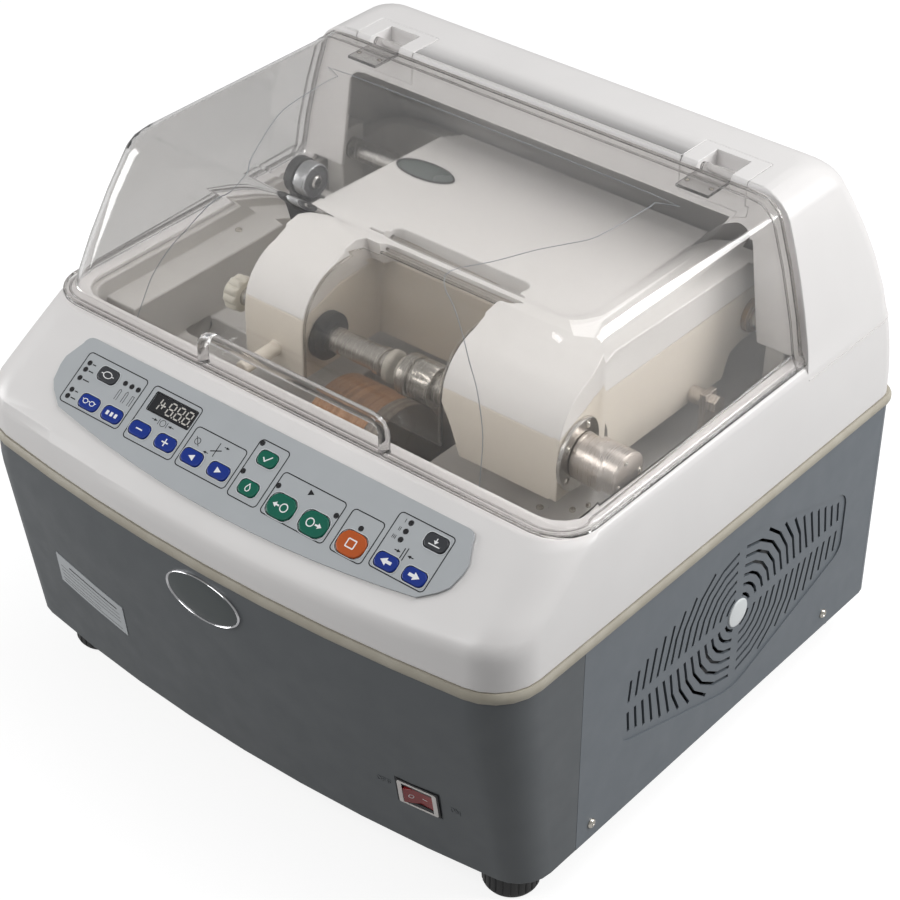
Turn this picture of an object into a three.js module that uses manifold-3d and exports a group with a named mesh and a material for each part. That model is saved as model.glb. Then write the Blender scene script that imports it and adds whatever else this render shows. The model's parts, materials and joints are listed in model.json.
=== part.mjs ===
// A benchtop lens grinding machine: a wet edger with a clear hinged lid over its grinding chamber.
// Millimetres, +Z up, +X to the operator's right, -Y towards the operator. The origin is the middle
// of the footprint, on the bench.
import * as THREE from 'three';
import { mergeVertices } from 'three/addons/utils/BufferGeometryUtils.js';
import Module from 'manifold-3d';

const wasm = await Module();
wasm.setup();

// Driving dimensions
const casing_width = 540;
const casing_depth = 532;
const foot_height = 42;
const casing_height = 197;
const gasket_height = 10;
const deck_rise = 86;
const hood_rise = 136;
const hood_depth = 136;
const wall = 3.5;
const gap = 0.3;
const overrun = 2;

// Heights of the main seams
const casing_bottom_z = foot_height;
const casing_top_z = casing_bottom_z + casing_height;
const shell_bottom_z = casing_top_z + gasket_height;
const deck_z = shell_bottom_z + deck_rise;
const hood_top_z = deck_z + hood_rise;
const half_width = casing_width / 2;
const front_y = -casing_depth / 2;
const rear_y = casing_depth / 2;
const hood_front_y = rear_y - hood_depth;

// Counts of steps along round stretches
const bow_steps = 8;
const corner_steps = 5;
const circle_sides = 20;
const small_sides = 12;

// Colours
const shell_white = 0xdcdad8;
const casing_grey = 0x6b7076;
const gasket_khaki = 0x8f8776;
const panel_grey = 0xa4a8ab;
const dark_key = 0x3a3c40;
const blue_key = 0x1b3a8c;
const green_key = 0x0c6b57;
const orange_key = 0xa85428;
const body_cream = 0xd9d3c6;
const chamber_grey = 0xa9a7a4;
const steel_grey = 0x9a9894;
const black_rubber = 0x1b1b1c;

const machine = new THREE.Group();

// Helpers for solids

function solid(geometry) {
  const bare = geometry.index ? geometry.toNonIndexed() : geometry.clone();
  bare.deleteAttribute('normal');
  bare.deleteAttribute('uv');
  const merged = mergeVertices(bare, 1e-4);
  return new wasm.Manifold(new wasm.Mesh({
    numProp: 3,
    vertProperties: new Float32Array(merged.attributes.position.array),
    triVerts: new Uint32Array(merged.index.array),
  }));
}

function geometryOf(manifold) {
  const mesh = manifold.getMesh();
  const geometry = new THREE.BufferGeometry();
  geometry.setAttribute('position', new THREE.BufferAttribute(new Float32Array(mesh.vertProperties), 3));
  geometry.setIndex(new THREE.BufferAttribute(new Uint32Array(mesh.triVerts), 1));
  return geometry;
}

function material(color, roughness = 0.5, metalness = 0, opacity = 1) {
  return new THREE.MeshStandardMaterial({ color, roughness, metalness, opacity, transparent: opacity < 1 });
}

function add(name, manifold, look, parent = machine) {
  const mesh = new THREE.Mesh(geometryOf(manifold), look);
  mesh.name = name;
  parent.add(mesh);
  return mesh;
}

function join(parts) {
  return parts.reduce((sum, part) => sum.add(part));
}

function block(x0, x1, y0, y1, z0, z1) {
  const geometry = new THREE.BoxGeometry(x1 - x0, y1 - y0, z1 - z0);
  return solid(geometry.translate((x0 + x1) / 2, (y0 + y1) / 2, (z0 + z1) / 2));
}

// A flat outline of [a, b] pairs pushed along one axis. Along x the pairs are y and z, along y they
// are x and z, and along z they are x and y.
function prism(axis, outline, from, to) {
  const shape = new THREE.Shape(outline.map(([a, b]) => new THREE.Vector2(a, b)));
  const geometry = new THREE.ExtrudeGeometry(shape, { depth: to - from, bevelEnabled: false });
  geometry.translate(0, 0, from);
  const turn = new THREE.Matrix4();
  if (axis === 'x') {
    turn.set(0, 0, 1, 0, 1, 0, 0, 0, 0, 1, 0, 0, 0, 0, 0, 1);
  }
  if (axis === 'y') {
    turn.set(1, 0, 0, 0, 0, 0, 1, 0, 0, 1, 0, 0, 0, 0, 0, 1);
    const body = solid(geometry);
    return body.transform(turn.elements);
  }
  if (axis === 'z') {
    return solid(geometry);
  }
  return solid(geometry.applyMatrix4(turn));
}

// A turned piece: [radius, place along the axis] pairs from end to end, both ends on the axis.
function turned(axis, profile, centre, sides = circle_sides) {
  const points = profile.map(([radius, along]) => new THREE.Vector2(radius, along));
  const geometry = new THREE.LatheGeometry(points, sides);
  if (axis === 'x') {
    geometry.rotateZ(-Math.PI / 2);
  }
  if (axis === 'z') {
    geometry.rotateX(Math.PI / 2);
  }
  return solid(geometry.translate(...centre));
}

function rod(axis, radius, from, to, centre, sides = circle_sides) {
  return turned(axis, [[0, from], [radius, from], [radius, to], [0, to]], centre, sides);
}

// A body through closed rings of points with equal counts. The first and last ring are flat and convex.
function loft(rings) {
  const count = rings[0].length;
  const positions = rings.flat().flatMap((point) => [point.x, point.y, point.z]);
  const faces = [];
  for (let level = 0; level < rings.length - 1; level += 1) {
    for (let i = 0; i < count; i += 1) {
      const next = (i + 1) % count;
      const a = level * count + i;
      const b = level * count + next;
      faces.push(a, b, b + count, a, b + count, a + count);
    }
  }
  const last = (rings.length - 1) * count;
  for (let i = 1; i < count - 1; i += 1) {
    faces.push(0, i + 1, i, last, last + i, last + i + 1);
  }
  const geometry = new THREE.BufferGeometry();
  geometry.setAttribute('position', new THREE.BufferAttribute(new Float32Array(positions), 3));
  geometry.setIndex(faces);
  return solid(geometry);
}

// Points of an arc about [a, b], angles in radians, both ends included.
function arc(a, b, radius, from, to, steps) {
  return Array.from({ length: steps + 1 }, (_, i) => {
    const angle = from + ((to - from) * i) / steps;
    return [a + radius * Math.cos(angle), b + radius * Math.sin(angle)];
  });
}

// A rectangle with round corners about [a, b].
function roundedRectangle(a, b, width, height, radius, steps) {
  const quarter = Math.PI / 2;
  const reach_a = width / 2 - radius;
  const reach_b = height / 2 - radius;
  return [
    ...arc(a + reach_a, b - reach_b, radius, -quarter, 0, steps),
    ...arc(a + reach_a, b + reach_b, radius, 0, quarter, steps),
    ...arc(a - reach_a, b + reach_b, radius, quarter, 2 * quarter, steps),
    ...arc(a - reach_a, b - reach_b, radius, 2 * quarter, 3 * quarter, steps),
  ];
}

// A convex anticlockwise outline whose corners are rounded, each by its own radius.
function roundedOutline(corners, radii, steps) {
  return corners.flatMap(([a, b], i) => {
    const [before_a, before_b] = corners[(i + corners.length - 1) % corners.length];
    const [after_a, after_b] = corners[(i + 1) % corners.length];
    const into = Math.atan2(b - before_b, a - before_a);
    const out = Math.atan2(after_b - b, after_a - a);
    const turn = (out - into + 2 * Math.PI) % (2 * Math.PI);
    const back = radii[i] * Math.tan(turn / 2);
    const centre_a = a - back * Math.cos(into) - radii[i] * Math.sin(into);
    const centre_b = b - back * Math.sin(into) + radii[i] * Math.cos(into);
    return arc(centre_a, centre_b, radii[i], into - Math.PI / 2, into - Math.PI / 2 + turn, steps);
  });
}

// The plan outline of the machine at one height, anticlockwise from the left rear. frontOf gives the
// y of the bowed front at a place across the width.
function planOutline({ half, front, bow, frontRadius, rear, rearRadius }) {
  const bow_end = half - frontRadius;
  const lean = Math.atan2(2 * bow, bow_end);
  const bow_half = bow_end + frontRadius * Math.sin(lean);
  const corner_y = front + bow + frontRadius * Math.cos(lean);
  const side = frontRadius > 0
    ? arc(-bow_end, corner_y, frontRadius, Math.PI, 1.5 * Math.PI - lean, corner_steps)
    : [[-half, front]];
  const bowed = Array.from({ length: bow > 0 ? bow_steps - 1 : 0 }, (_, i) => {
    const across = -1 + (2 * (i + 1)) / bow_steps;
    return [across * bow_half, front + bow * across * across];
  });
  const mirrored = (points) => points.map(([x, y]) => [-x, y]).reverse();
  const rear_corner = rearRadius > 0
    ? arc(half - rearRadius, rear - rearRadius, rearRadius, 0, Math.PI / 2, corner_steps)
    : [[half, rear]];
  return [...side, ...bowed, ...mirrored(side), ...rear_corner, ...mirrored(rear_corner)];
}

function ring(outline, z) {
  return outline.map(([x, y]) => new THREE.Vector3(x, y, typeof z === 'function' ? z(x) : z));
}

// Casing: the grey lower half

const front_bow = 17;
const foot_bow = 19;
const casing_front_radius = 42;
const casing_rear_radius = 16;
const foot_setback = 30;
const foot_front_radius = 32;
const crease_drop = 57;
const crease_rise = 40;
const fascia_depth = 111;
const seam_y = front_y + fascia_depth;
const rear_seam_y = rear_y - casing_rear_radius;

function casingOutline(inset, setback, bow, radius) {
  return planOutline({
    half: half_width - inset,
    front: front_y + inset + setback,
    bow,
    frontRadius: radius - inset,
    rear: rear_y - inset,
    rearRadius: casing_rear_radius - inset,
  });
}

function casingBody(inset, reach) {
  const crease = (x) => casing_top_z - crease_drop + crease_rise * (x / half_width) ** 2;
  return loft([
    ring(casingOutline(inset, foot_setback, foot_bow, foot_front_radius), casing_bottom_z - reach),
    ring(casingOutline(inset, 0, front_bow, casing_front_radius), crease),
    ring(casingOutline(inset, 0, front_bow, casing_front_radius), casing_top_z + reach),
  ]);
}

const casing = casingBody(0, 0).subtract(casingBody(wall, overrun));
const beyond = casing_width;

// The rocker switch sits in a cut-out of the fascia
const switch_side_margin = 87;
const switch_x = half_width - switch_side_margin;
const switch_height_up = 62;
const switch_z = casing_bottom_z + switch_height_up;
const switch_width = 37;
const switch_height = 27;
const switch_rim = 3;
const switch_depth = 22;
const switch_inset = 1.2;
const bow_reach = half_width - casing_front_radius * 0.8;

// The y of the fascia's lower face
function fasciaFront(x, z) {
  const crease = casing_height - crease_drop + crease_rise * (x / half_width) ** 2;
  const up = (z - casing_bottom_z) / crease;
  const bow = (foot_bow + (front_bow - foot_bow) * up) * (x / bow_reach) ** 2;
  return front_y + foot_setback * (1 - up) + bow;
}
const switch_face_y = fasciaFront(switch_x, switch_z) + switch_inset;
const switch_turn = Math.atan2(
  fasciaFront(switch_x + switch_width / 2, switch_z) - fasciaFront(switch_x - switch_width / 2, switch_z),
  switch_width,
);
const switch_lean = Math.atan2(
  fasciaFront(switch_x, switch_z - switch_height / 2) - fasciaFront(switch_x, switch_z + switch_height / 2),
  switch_height,
);
const switch_cut = join([
  block(
    -switch_width / 2 + switch_rim - gap, switch_width / 2 - switch_rim + gap, -switch_depth, switch_depth,
    -switch_height / 2 + switch_rim - gap, switch_height / 2 - switch_rim + gap,
  ),
  block(
    -switch_width / 2 - switch_inset, switch_width / 2 + switch_inset, -switch_depth, 0,
    -switch_height / 2 - switch_inset, switch_height / 2 + switch_inset,
  ),
]).rotate([THREE.MathUtils.radToDeg(switch_lean), 0, 0])
  .rotate([0, 0, THREE.MathUtils.radToDeg(switch_turn)])
  .translate([switch_x, switch_face_y, switch_z]);

const fascia_zone = block(-beyond, beyond, -beyond, seam_y - gap / 2, -beyond, beyond);
add('front_fascia', casing.intersect(fascia_zone).subtract(switch_cut), material(casing_grey, 0.55));

// Side panels, with quarter rings of cooling slots round a plain disc
const vent_offset = 3.5;
const vent_y = (seam_y + rear_seam_y) / 2 + vent_offset;
const vent_height_up = 103;
const vent_z = casing_bottom_z + vent_height_up;
const vent_first_radius = 16.2;
const vent_pitch = 9.25;
const vent_rings = 15;
const vent_slot = 3;
const vent_spoke = 10;
const vent_half_height = 74;
const vent_end_height = 24;
const vent_steps = 3;
const vent_half_length = 146;
const vent_border = 6;
const vent_end_border = 9;
const vent_recess = 1.2;
const vent_crown_radius = 60;
const vent_end_radius = 16;

function ventReach(along) {
  const fall = (vent_half_height - vent_end_height) / vent_half_length;
  return vent_half_height - fall * Math.abs(along);
}

// The angle, up from the horizontal, at which a ring leaves the lens-shaped vent field.
function ventLimit(radius) {
  const steps = 90;
  const quarter = Math.PI / 2;
  for (let i = 0; i <= steps; i += 1) {
    const angle = (quarter * i) / steps;
    if (radius * Math.sin(angle) > ventReach(radius * Math.cos(angle))) {
      return angle;
    }
  }
  return quarter;
}

function ventSlots() {
  const slots = [];
  for (let i = 0; i < vent_rings; i += 1) {
    const radius = vent_first_radius + i * vent_pitch;
    const spoke = Math.asin(vent_spoke / 2 / radius);
    const limit = Math.min(ventLimit(radius), Math.PI / 2 - spoke);
    const arc_length = (limit - spoke) * radius;
    if (arc_length < 2 * vent_slot) {
      continue;
    }
    const steps = Math.max(1, Math.round((limit - spoke) * vent_steps));
    const inner = arc(0, 0, radius - vent_slot / 2, limit, spoke, steps);
    const outer = arc(0, 0, radius + vent_slot / 2, spoke, limit, steps);
    for (const [side, up] of [[1, 1], [-1, 1], [-1, -1], [1, -1]]) {
      const outline = [...outer, ...inner].map(([a, b]) => [vent_y + side * a, vent_z + up * b]);
      slots.push(side * up > 0 ? outline : outline.reverse());
    }
  }
  return slots;
}

// The slots lie in a shallow recess with round ends and a blunt point above and below.
const recess_half_length = vent_half_length + vent_end_border;
const recess_half_height = vent_half_height + vent_border;
const recess_end_height = vent_end_height + vent_border;
const vent_recess_outline = roundedOutline([
  [vent_y - recess_half_length, vent_z - recess_end_height],
  [vent_y, vent_z - recess_half_height],
  [vent_y + recess_half_length, vent_z - recess_end_height],
  [vent_y + recess_half_length, vent_z + recess_end_height],
  [vent_y, vent_z + recess_half_height],
  [vent_y - recess_half_length, vent_z + recess_end_height],
], [vent_end_radius, vent_crown_radius, vent_end_radius, vent_end_radius, vent_crown_radius, vent_end_radius], 4);

const side_zone = block(0, beyond, seam_y + gap / 2, rear_seam_y - gap / 2, -beyond, beyond);
const side_panel = ventSlots().reduce(
  (panel, slot) => panel.subtract(prism('x', slot, half_width - wall - overrun, half_width + overrun)),
  casing.intersect(side_zone)
    .subtract(prism('x', vent_recess_outline, half_width - vent_recess, half_width + overrun)),
);
add('side_panel_right', side_panel, material(casing_grey, 0.5));
add('side_panel_left', side_panel.mirror([1, 0, 0]), material(casing_grey, 0.5));

// Rear panel, wrapped round both rear corners, with the mains inlet and a row of air slots
const inlet_side_margin = 100;
const inlet_x = half_width - inlet_side_margin;
const inlet_height_up = 48;
const inlet_z = casing_bottom_z + inlet_height_up;
const inlet_width = 30;
const inlet_height = 24;
const inlet_rim = 5;
const inlet_depth = 26;
const air_slots = 7;
const air_slot_pitch = 22;
const air_slot_width = 5;
const air_slot_height = 52;
const air_slot_height_up = 126;
const air_slot_z = casing_bottom_z + air_slot_height_up;
const rear_zone = block(-beyond, beyond, rear_seam_y + gap / 2, beyond, -beyond, beyond);
let rear_panel = casing.intersect(rear_zone).subtract(block(
  inlet_x - inlet_width / 2 - gap, inlet_x + inlet_width / 2 + gap, rear_y - inlet_depth, rear_y + overrun,
  inlet_z - inlet_height / 2 - gap, inlet_z + inlet_height / 2 + gap,
));
for (let i = 0; i < air_slots; i += 1) {
  const x = (i - (air_slots - 1) / 2) * air_slot_pitch;
  rear_panel = rear_panel.subtract(block(
    x - air_slot_width / 2, x + air_slot_width / 2, rear_y - wall - overrun, rear_y + overrun,
    air_slot_z - air_slot_height / 2, air_slot_z + air_slot_height / 2,
  ));
}
add('rear_panel', rear_panel, material(casing_grey, 0.5));

// The inlet's body sits inside, and its rim rests on the panel from outside
const inlet_pocket = 18;
const inlet_wall = 3;
const inlet_pin_radius = 2;
const inlet_pin_pitch = 7;
const inlet_body = join([
  block(
    inlet_x - inlet_width / 2, inlet_x + inlet_width / 2, rear_y - inlet_depth, rear_y + overrun,
    inlet_z - inlet_height / 2, inlet_z + inlet_height / 2,
  ),
  block(
    inlet_x - inlet_width / 2 - inlet_rim, inlet_x + inlet_width / 2 + inlet_rim,
    rear_y + gap, rear_y + overrun,
    inlet_z - inlet_height / 2 - inlet_rim, inlet_z + inlet_height / 2 + inlet_rim,
  ),
]).subtract(block(
  inlet_x - inlet_width / 2 + inlet_wall, inlet_x + inlet_width / 2 - inlet_wall,
  rear_y - inlet_pocket, rear_y + overrun + overrun,
  inlet_z - inlet_height / 2 + inlet_wall, inlet_z + inlet_height / 2 - inlet_wall,
));
const inlet_pins = [-1, 0, 1].map((step) => rod(
  'y', inlet_pin_radius, rear_y - inlet_pocket - inlet_wall, rear_y - inlet_wall,
  [inlet_x + step * inlet_pin_pitch, 0, inlet_z], small_sides,
));
add('power_inlet', join([inlet_body, ...inlet_pins]), material(black_rubber, 0.5));

// Base plate and feet
const plate_thickness = 3;
const plate_z = casing_bottom_z + 1;
const plate = loft([plate_z, plate_z + plate_thickness].map(
  (z) => ring(casingOutline(wall + 1, foot_setback, foot_bow, foot_front_radius), z),
));
const foot_side_margin = 44;
const foot_x = half_width - foot_side_margin;
const foot_front_margin = 89;
const foot_front_y = front_y + foot_front_margin;
const foot_rear_margin = 28;
const foot_rear_y = rear_y - foot_rear_margin;
const foot_radius = 23;
const foot_knob_height = 34;
const foot_stud_radius = 6;
const foot_sole_radius = 20;
const foot_sole_height = 3;
const foot_stud_reach = 12;
const foot_places = {
  foot_front_right: [foot_x, foot_front_y],
  foot_front_left: [-foot_x, foot_front_y],
  foot_rear_right: [foot_x, foot_rear_y],
  foot_rear_left: [-foot_x, foot_rear_y],
};
const plate_top_z = plate_z + plate_thickness;
const foot_profile = [
  [0, 0], [foot_sole_radius, 0], [foot_radius, foot_sole_height], [foot_radius, foot_knob_height],
  [foot_stud_radius, foot_knob_height], [foot_stud_radius, plate_top_z + foot_stud_reach],
  [0, plate_top_z + foot_stud_reach],
];
const foot = turned('z', foot_profile, [0, 0, 0]);
const foot_look = material(black_rubber, 0.8);
let drilled_plate = plate;
for (const [name, [x, y]] of Object.entries(foot_places)) {
  add(name, foot, foot_look).position.set(x, y, 0);
  drilled_plate = drilled_plate.subtract(
    rod('z', foot_stud_radius + gap, plate_z - overrun, plate_top_z + overrun, [x, y, 0], small_sides),
  );
}
add('base_plate', drilled_plate, material(steel_grey, 0.5, 0.8));

// The khaki sealing band between casing and top shell
const gasket_bulge = 3;
const gasket_seat = 9;
const gasket_shares = [[0, 0.35], [0.22, 0.85], [0.5, 1], [0.78, 0.85], [1, 0.35]];
const gasket_low = casing_top_z + gap;
const gasket_span = gasket_height - 2 * gap;
const gasket = loft(gasket_shares.map(([up_share, out_share]) => ring(
  casingOutline(-gasket_bulge * out_share, 0, front_bow, casing_front_radius),
  gasket_low + gasket_span * up_share,
)));
const gasket_hole = loft([gasket_low - overrun, gasket_low + gasket_span + overrun].map(
  (z) => ring(casingOutline(gasket_seat, 0, front_bow, casing_front_radius), z),
));
add('gasket_band', gasket.subtract(gasket_hole), material(gasket_khaki, 0.7));

// Top shell: front band, sloping control deck, landing for the lid and the hood behind it

const deck_angle = THREE.MathUtils.degToRad(33.8);
const deck_depth = 90;
const deck_lip = 2;
const deck_top_y = front_y + deck_depth;
const deck_top_z = deck_z - deck_lip;
const shoulder_radius = 16;
const shell_side_taper = 37;
const shell_taper_height = 206;
const shell_rear_taper = 50;
const shell_edge_radius = 7;
const shell_wall = 4;
const deck_corner_radius = 42;
const hood_edge_radius = 20;
const hood_corner_radius = 20;

function sideHalf(z) {
  return half_width - shell_side_taper * ((z - shell_bottom_z) / shell_taper_height) ** 2;
}

function rearAt(z) {
  return rear_y - shell_rear_taper * ((z - shell_bottom_z) / shell_taper_height) ** 2;
}

// The front of the shell at a height: the upright band, a round shoulder, then the sloping deck.
function deckFront(wall_y, z) {
  const meet_z = deck_top_z + Math.tan(deck_angle) * (wall_y - deck_top_y);
  const tangent = shoulder_radius * Math.tan((Math.PI / 2 - deck_angle) / 2);
  const low_z = meet_z - tangent;
  const high_z = meet_z + tangent * Math.sin(deck_angle);
  if (z <= low_z) {
    return wall_y;
  }
  if (z < high_z) {
    return wall_y + shoulder_radius - Math.sqrt(shoulder_radius ** 2 - (z - low_z) ** 2);
  }
  return deck_top_y + (z - deck_top_z) / Math.tan(deck_angle);
}

// Where a round edge of the given radius pulls the wall in, below a flat top.
function edgeInset(z, top_z, radius) {
  const into = Math.max(0, z - (top_z - radius));
  return radius - Math.sqrt(Math.max(0, radius ** 2 - into ** 2));
}

function shellRing(z, inset) {
  const half = sideHalf(z) - edgeInset(z, deck_z, shell_edge_radius) - inset;
  const base = planOutline({
    half,
    front: front_y + inset,
    bow: front_bow,
    frontRadius: deck_corner_radius - inset,
    rear: rearAt(z) - inset,
    rearRadius: hood_corner_radius - inset,
  });
  const corner_front = front_y + front_bow;
  return ring(base, z).map((point) => {
    const shift = point.y < corner_front + deck_corner_radius
      ? deckFront(Math.min(point.y, corner_front) - inset, z + inset / Math.cos(deck_angle)) + inset
        - Math.min(point.y, corner_front)
      : 0;
    const room = Math.max(0, deckFront(corner_front - inset, z + inset / Math.cos(deck_angle))
      + inset - corner_front);
    const sits_back = Math.max(shift, point.y > corner_front ? room : 0);
    return new THREE.Vector3(point.x, point.y + (point.y < 0 ? sits_back : 0), z);
  });
}

const shell_level_shares = [0, 0.12, 0.22, 0.3, 0.38, 0.46, 0.55, 0.68, 0.82, 0.92, 0.976];
const shell_levels = [...shell_level_shares.map((share) => shell_bottom_z + deck_rise * share), deck_z];
const inner_level_shares = [0.2, 0.34, 0.5];
const inner_levels = [
  shell_bottom_z - overrun,
  ...inner_level_shares.map((share) => shell_bottom_z + (deck_rise - shell_wall) * share),
  deck_z - shell_wall,
];

function hoodRing(z, inset, front) {
  const rounding = edgeInset(z, hood_top_z - inset, hood_edge_radius - inset);
  return ring(planOutline({
    half: sideHalf(z) - rounding - inset,
    front,
    bow: 0,
    frontRadius: 0,
    rear: rearAt(z) - rounding - inset,
    rearRadius: hood_corner_radius,
  }), z);
}

const hood_straight_shares = [0, 0.22, 0.45, 0.66, 0.85];
const hood_edge_shares = [0.35, 0.62, 0.82, 0.95, 1];
function hoodLevels(bottom, top, radius, straight_shares, edge_shares) {
  const bend = top - radius;
  return [
    ...straight_shares.map((share) => bottom + (bend - bottom) * share),
    ...[0, ...edge_shares].map((share) => bend + radius * share),
  ];
}

const shell_outer = loft(shell_levels.map((z) => shellRing(z, 0)));
const shell_inner = loft(inner_levels.map((z) => shellRing(z, shell_wall)));
const hood_outer = loft(
  hoodLevels(deck_z - 3 * shell_wall, hood_top_z, hood_edge_radius, hood_straight_shares, hood_edge_shares)
    .map((z) => hoodRing(z, 0, hood_front_y)),
);
const hood_inner = loft(
  hoodLevels(shell_bottom_z + overrun, hood_top_z - shell_wall, hood_edge_radius - shell_wall, [0, 0.5],
    [0.6, 1]).map((z) => hoodRing(z, shell_wall, hood_front_y + shell_wall)),
);

// The chamber mouth in the landing, and the window in the hood through which the carriage reaches
const mouth_side_margin = 24;
const mouth_half = half_width - mouth_side_margin;
const mouth_front_margin = 116;
const mouth_front_y = front_y + mouth_front_margin;
const mouth_radius = 26;
const window_header = 37;
const window_top_z = hood_top_z - window_header;
const window_top_margin = 67;
const window_half_top = half_width - window_top_margin;
const window_bottom_margin = 56;
const window_half_bottom = half_width - window_bottom_margin;
const window_radius = 16;
const window_bottom_z = deck_z - 2 * shell_wall;
const mouth_outline = [
  ...arc(-mouth_half + mouth_radius, mouth_front_y + mouth_radius, mouth_radius, Math.PI, 1.5 * Math.PI, 4),
  ...arc(mouth_half - mouth_radius, mouth_front_y + mouth_radius, mouth_radius, -0.5 * Math.PI, 0, 4),
  [mouth_half, hood_front_y + shell_wall], [-mouth_half, hood_front_y + shell_wall],
];
const mouth_cut = prism('z', mouth_outline, window_bottom_z, deck_z + overrun);
const window_corner = arc(
  window_half_top - window_radius, window_top_z - window_radius, window_radius, 0, Math.PI / 2, 4,
);
const window_cut = prism('y', [
  [-window_half_bottom, deck_z - overrun], [window_half_bottom, deck_z - overrun], ...window_corner,
  ...window_corner.map(([x, z]) => [-x, z]).reverse(),
], hood_front_y - overrun, hood_front_y + shell_wall + overrun);

// Hinge seats: white plates let into the hood's front edge, with a notch for the lid's clear knuckle.
// The hood's edge is round about the pin, so the lid clears it as it swings.
const hinge_side_margin = 39;
const hinge_x = window_half_top - hinge_side_margin;
const hinge_plate_width = 60;
const hinge_plate_depth = 35;
const hinge_plate_drop = 30;
const hinge_plate_thickness = 3;
const notch_width = 31;
const notch_depth = 28;
const notch_floor = 13;
const hinge_ear = 3;
const hinge_pin_radius = 2;
const hinge_knuckle_radius = 4;
const hinge_set_back = 8;
const hinge_set_down = 6;
const hinge_y = hood_front_y + hinge_set_back;
const hinge_z = hood_top_z - hinge_set_down;
const hinge_boss_wall = 6;

function hingeSpan(side, half_span, y0, y1, z0, z1) {
  return block(side * hinge_x - half_span, side * hinge_x + half_span, y0, y1, z0, z1);
}

function hingePlate(side, clearance) {
  const half_plate = hinge_plate_width / 2 + clearance;
  const thickness = hinge_plate_thickness + clearance;
  return join([
    hingeSpan(side, half_plate, hood_front_y - overrun, hood_front_y + hinge_plate_depth + clearance,
      hood_top_z - thickness, hood_top_z + overrun),
    hingeSpan(side, half_plate, hood_front_y - overrun, hood_front_y + thickness,
      hood_top_z - hinge_plate_drop - clearance, hood_top_z + overrun),
  ]);
}

function hingeNotch(side, clearance) {
  return hingeSpan(side, notch_width / 2 + clearance, hood_front_y - overrun,
    hood_front_y + notch_depth + clearance, hood_top_z - notch_floor - clearance, hood_top_z + overrun);
}

const hood_edge_relief = block(
  -beyond, beyond, hood_front_y - overrun, hinge_y, hinge_z, hood_top_z + overrun,
).subtract(rod('x', hinge_set_back, -beyond, beyond, [0, hinge_y, hinge_z], 2 * circle_sides));
const hood_skin = hood_outer.subtract(hood_edge_relief);
let top_shell = shell_outer.add(hood_skin).subtract(shell_inner.add(hood_inner));
for (const side of [-1, 1]) {
  const boss = hingeSpan(side, hinge_plate_width / 2 + hinge_boss_wall,
    hood_front_y + hinge_set_back / 2, hood_front_y + hinge_plate_depth + hinge_boss_wall,
    hood_top_z - notch_floor - hinge_boss_wall, hood_top_z - shell_wall / 2);
  const ear_room = hingeNotch(side, hinge_ear + gap);
  top_shell = top_shell.add(boss).subtract(hingePlate(side, gap)).subtract(ear_room);
  const pin_place = [side * hinge_x, hinge_y, hinge_z];
  const bore = rod('x', hinge_pin_radius + gap, -notch_width, notch_width, pin_place);
  const seat = hingePlate(side, 0).add(hingeNotch(side, hinge_ear)).intersect(hood_skin);
  const name = side < 0 ? 'hinge_base_left' : 'hinge_base_right';
  add(name, seat.subtract(hingeNotch(side, 0)).subtract(bore), material(shell_white, 0.35));
}
top_shell = top_shell.subtract(mouth_cut).subtract(window_cut);
add('top_shell', top_shell, material(shell_white, 0.35));

// Chamber tub: hangs by its rim under the landing, with a well for the wheels, a bearing boss for
// their spindle and two lugs that carry the carriage shaft
const tub_clearance = 2;
const tub_half = mouth_half - tub_clearance;
const tub_front_y = mouth_front_y + tub_clearance;
const tub_rear_margin = 30;
const tub_rear_y = rear_y - tub_rear_margin;
const tub_depth = 67;
const tub_floor_z = deck_z - tub_depth;
const tub_wall = 3;
const tub_rim = 12;
const tub_top_z = deck_z - shell_wall - gap;
const wheel_radius = 50;
const wheel_front_margin = 195;
const wheel_y = front_y + wheel_front_margin;
const wheel_drop = 90;
const wheel_z = deck_z - wheel_drop;
const well_room = 9;
const well_left_x = -56;
const well_right_x = 62;
const well_front_y = wheel_y - wheel_radius - well_room;
const well_rear_y = wheel_y + wheel_radius + well_room + 6;
const well_floor_z = wheel_z - wheel_radius - well_room;
const ledge_width = 31;
const ledge_height = 48;
const spindle_radius = 8;
const spindle_boss_radius = 16;
const spindle_boss_length = 22;
const shaft_rear_margin = 116;
const shaft_y = rear_y - shaft_rear_margin;
const ledge_shaft_room = 32;
const ledge_rear_y = shaft_y - ledge_shaft_room;
const shaft_rise = 10;
const shaft_z = deck_z + shaft_rise;
const shaft_radius = 9;
const shaft_end_margin = 10;
const shaft_half = mouth_half - shaft_end_margin;
const lug_width = 18;
const lug_depth = 28;
const lug_crown = 20;
const lug_top_z = shaft_z + lug_crown;
const drain_side_margin = 87.5;
const drain_x = drain_side_margin - half_width;
const drain_set_back = 17;
const drain_y = wheel_y + drain_set_back;
const drain_length = 73;
const drain_width = 30;
const drain_depth = 22;
const drain_floor_z = tub_floor_z - drain_depth;

const tub_corner = mouth_radius - tub_clearance;
function tubOutline(inset) {
  return roundedRectangle(
    0, (tub_front_y + tub_rear_y) / 2, 2 * (tub_half - inset), tub_rear_y - tub_front_y - 2 * inset,
    tub_corner - inset, corner_steps,
  );
}
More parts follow.
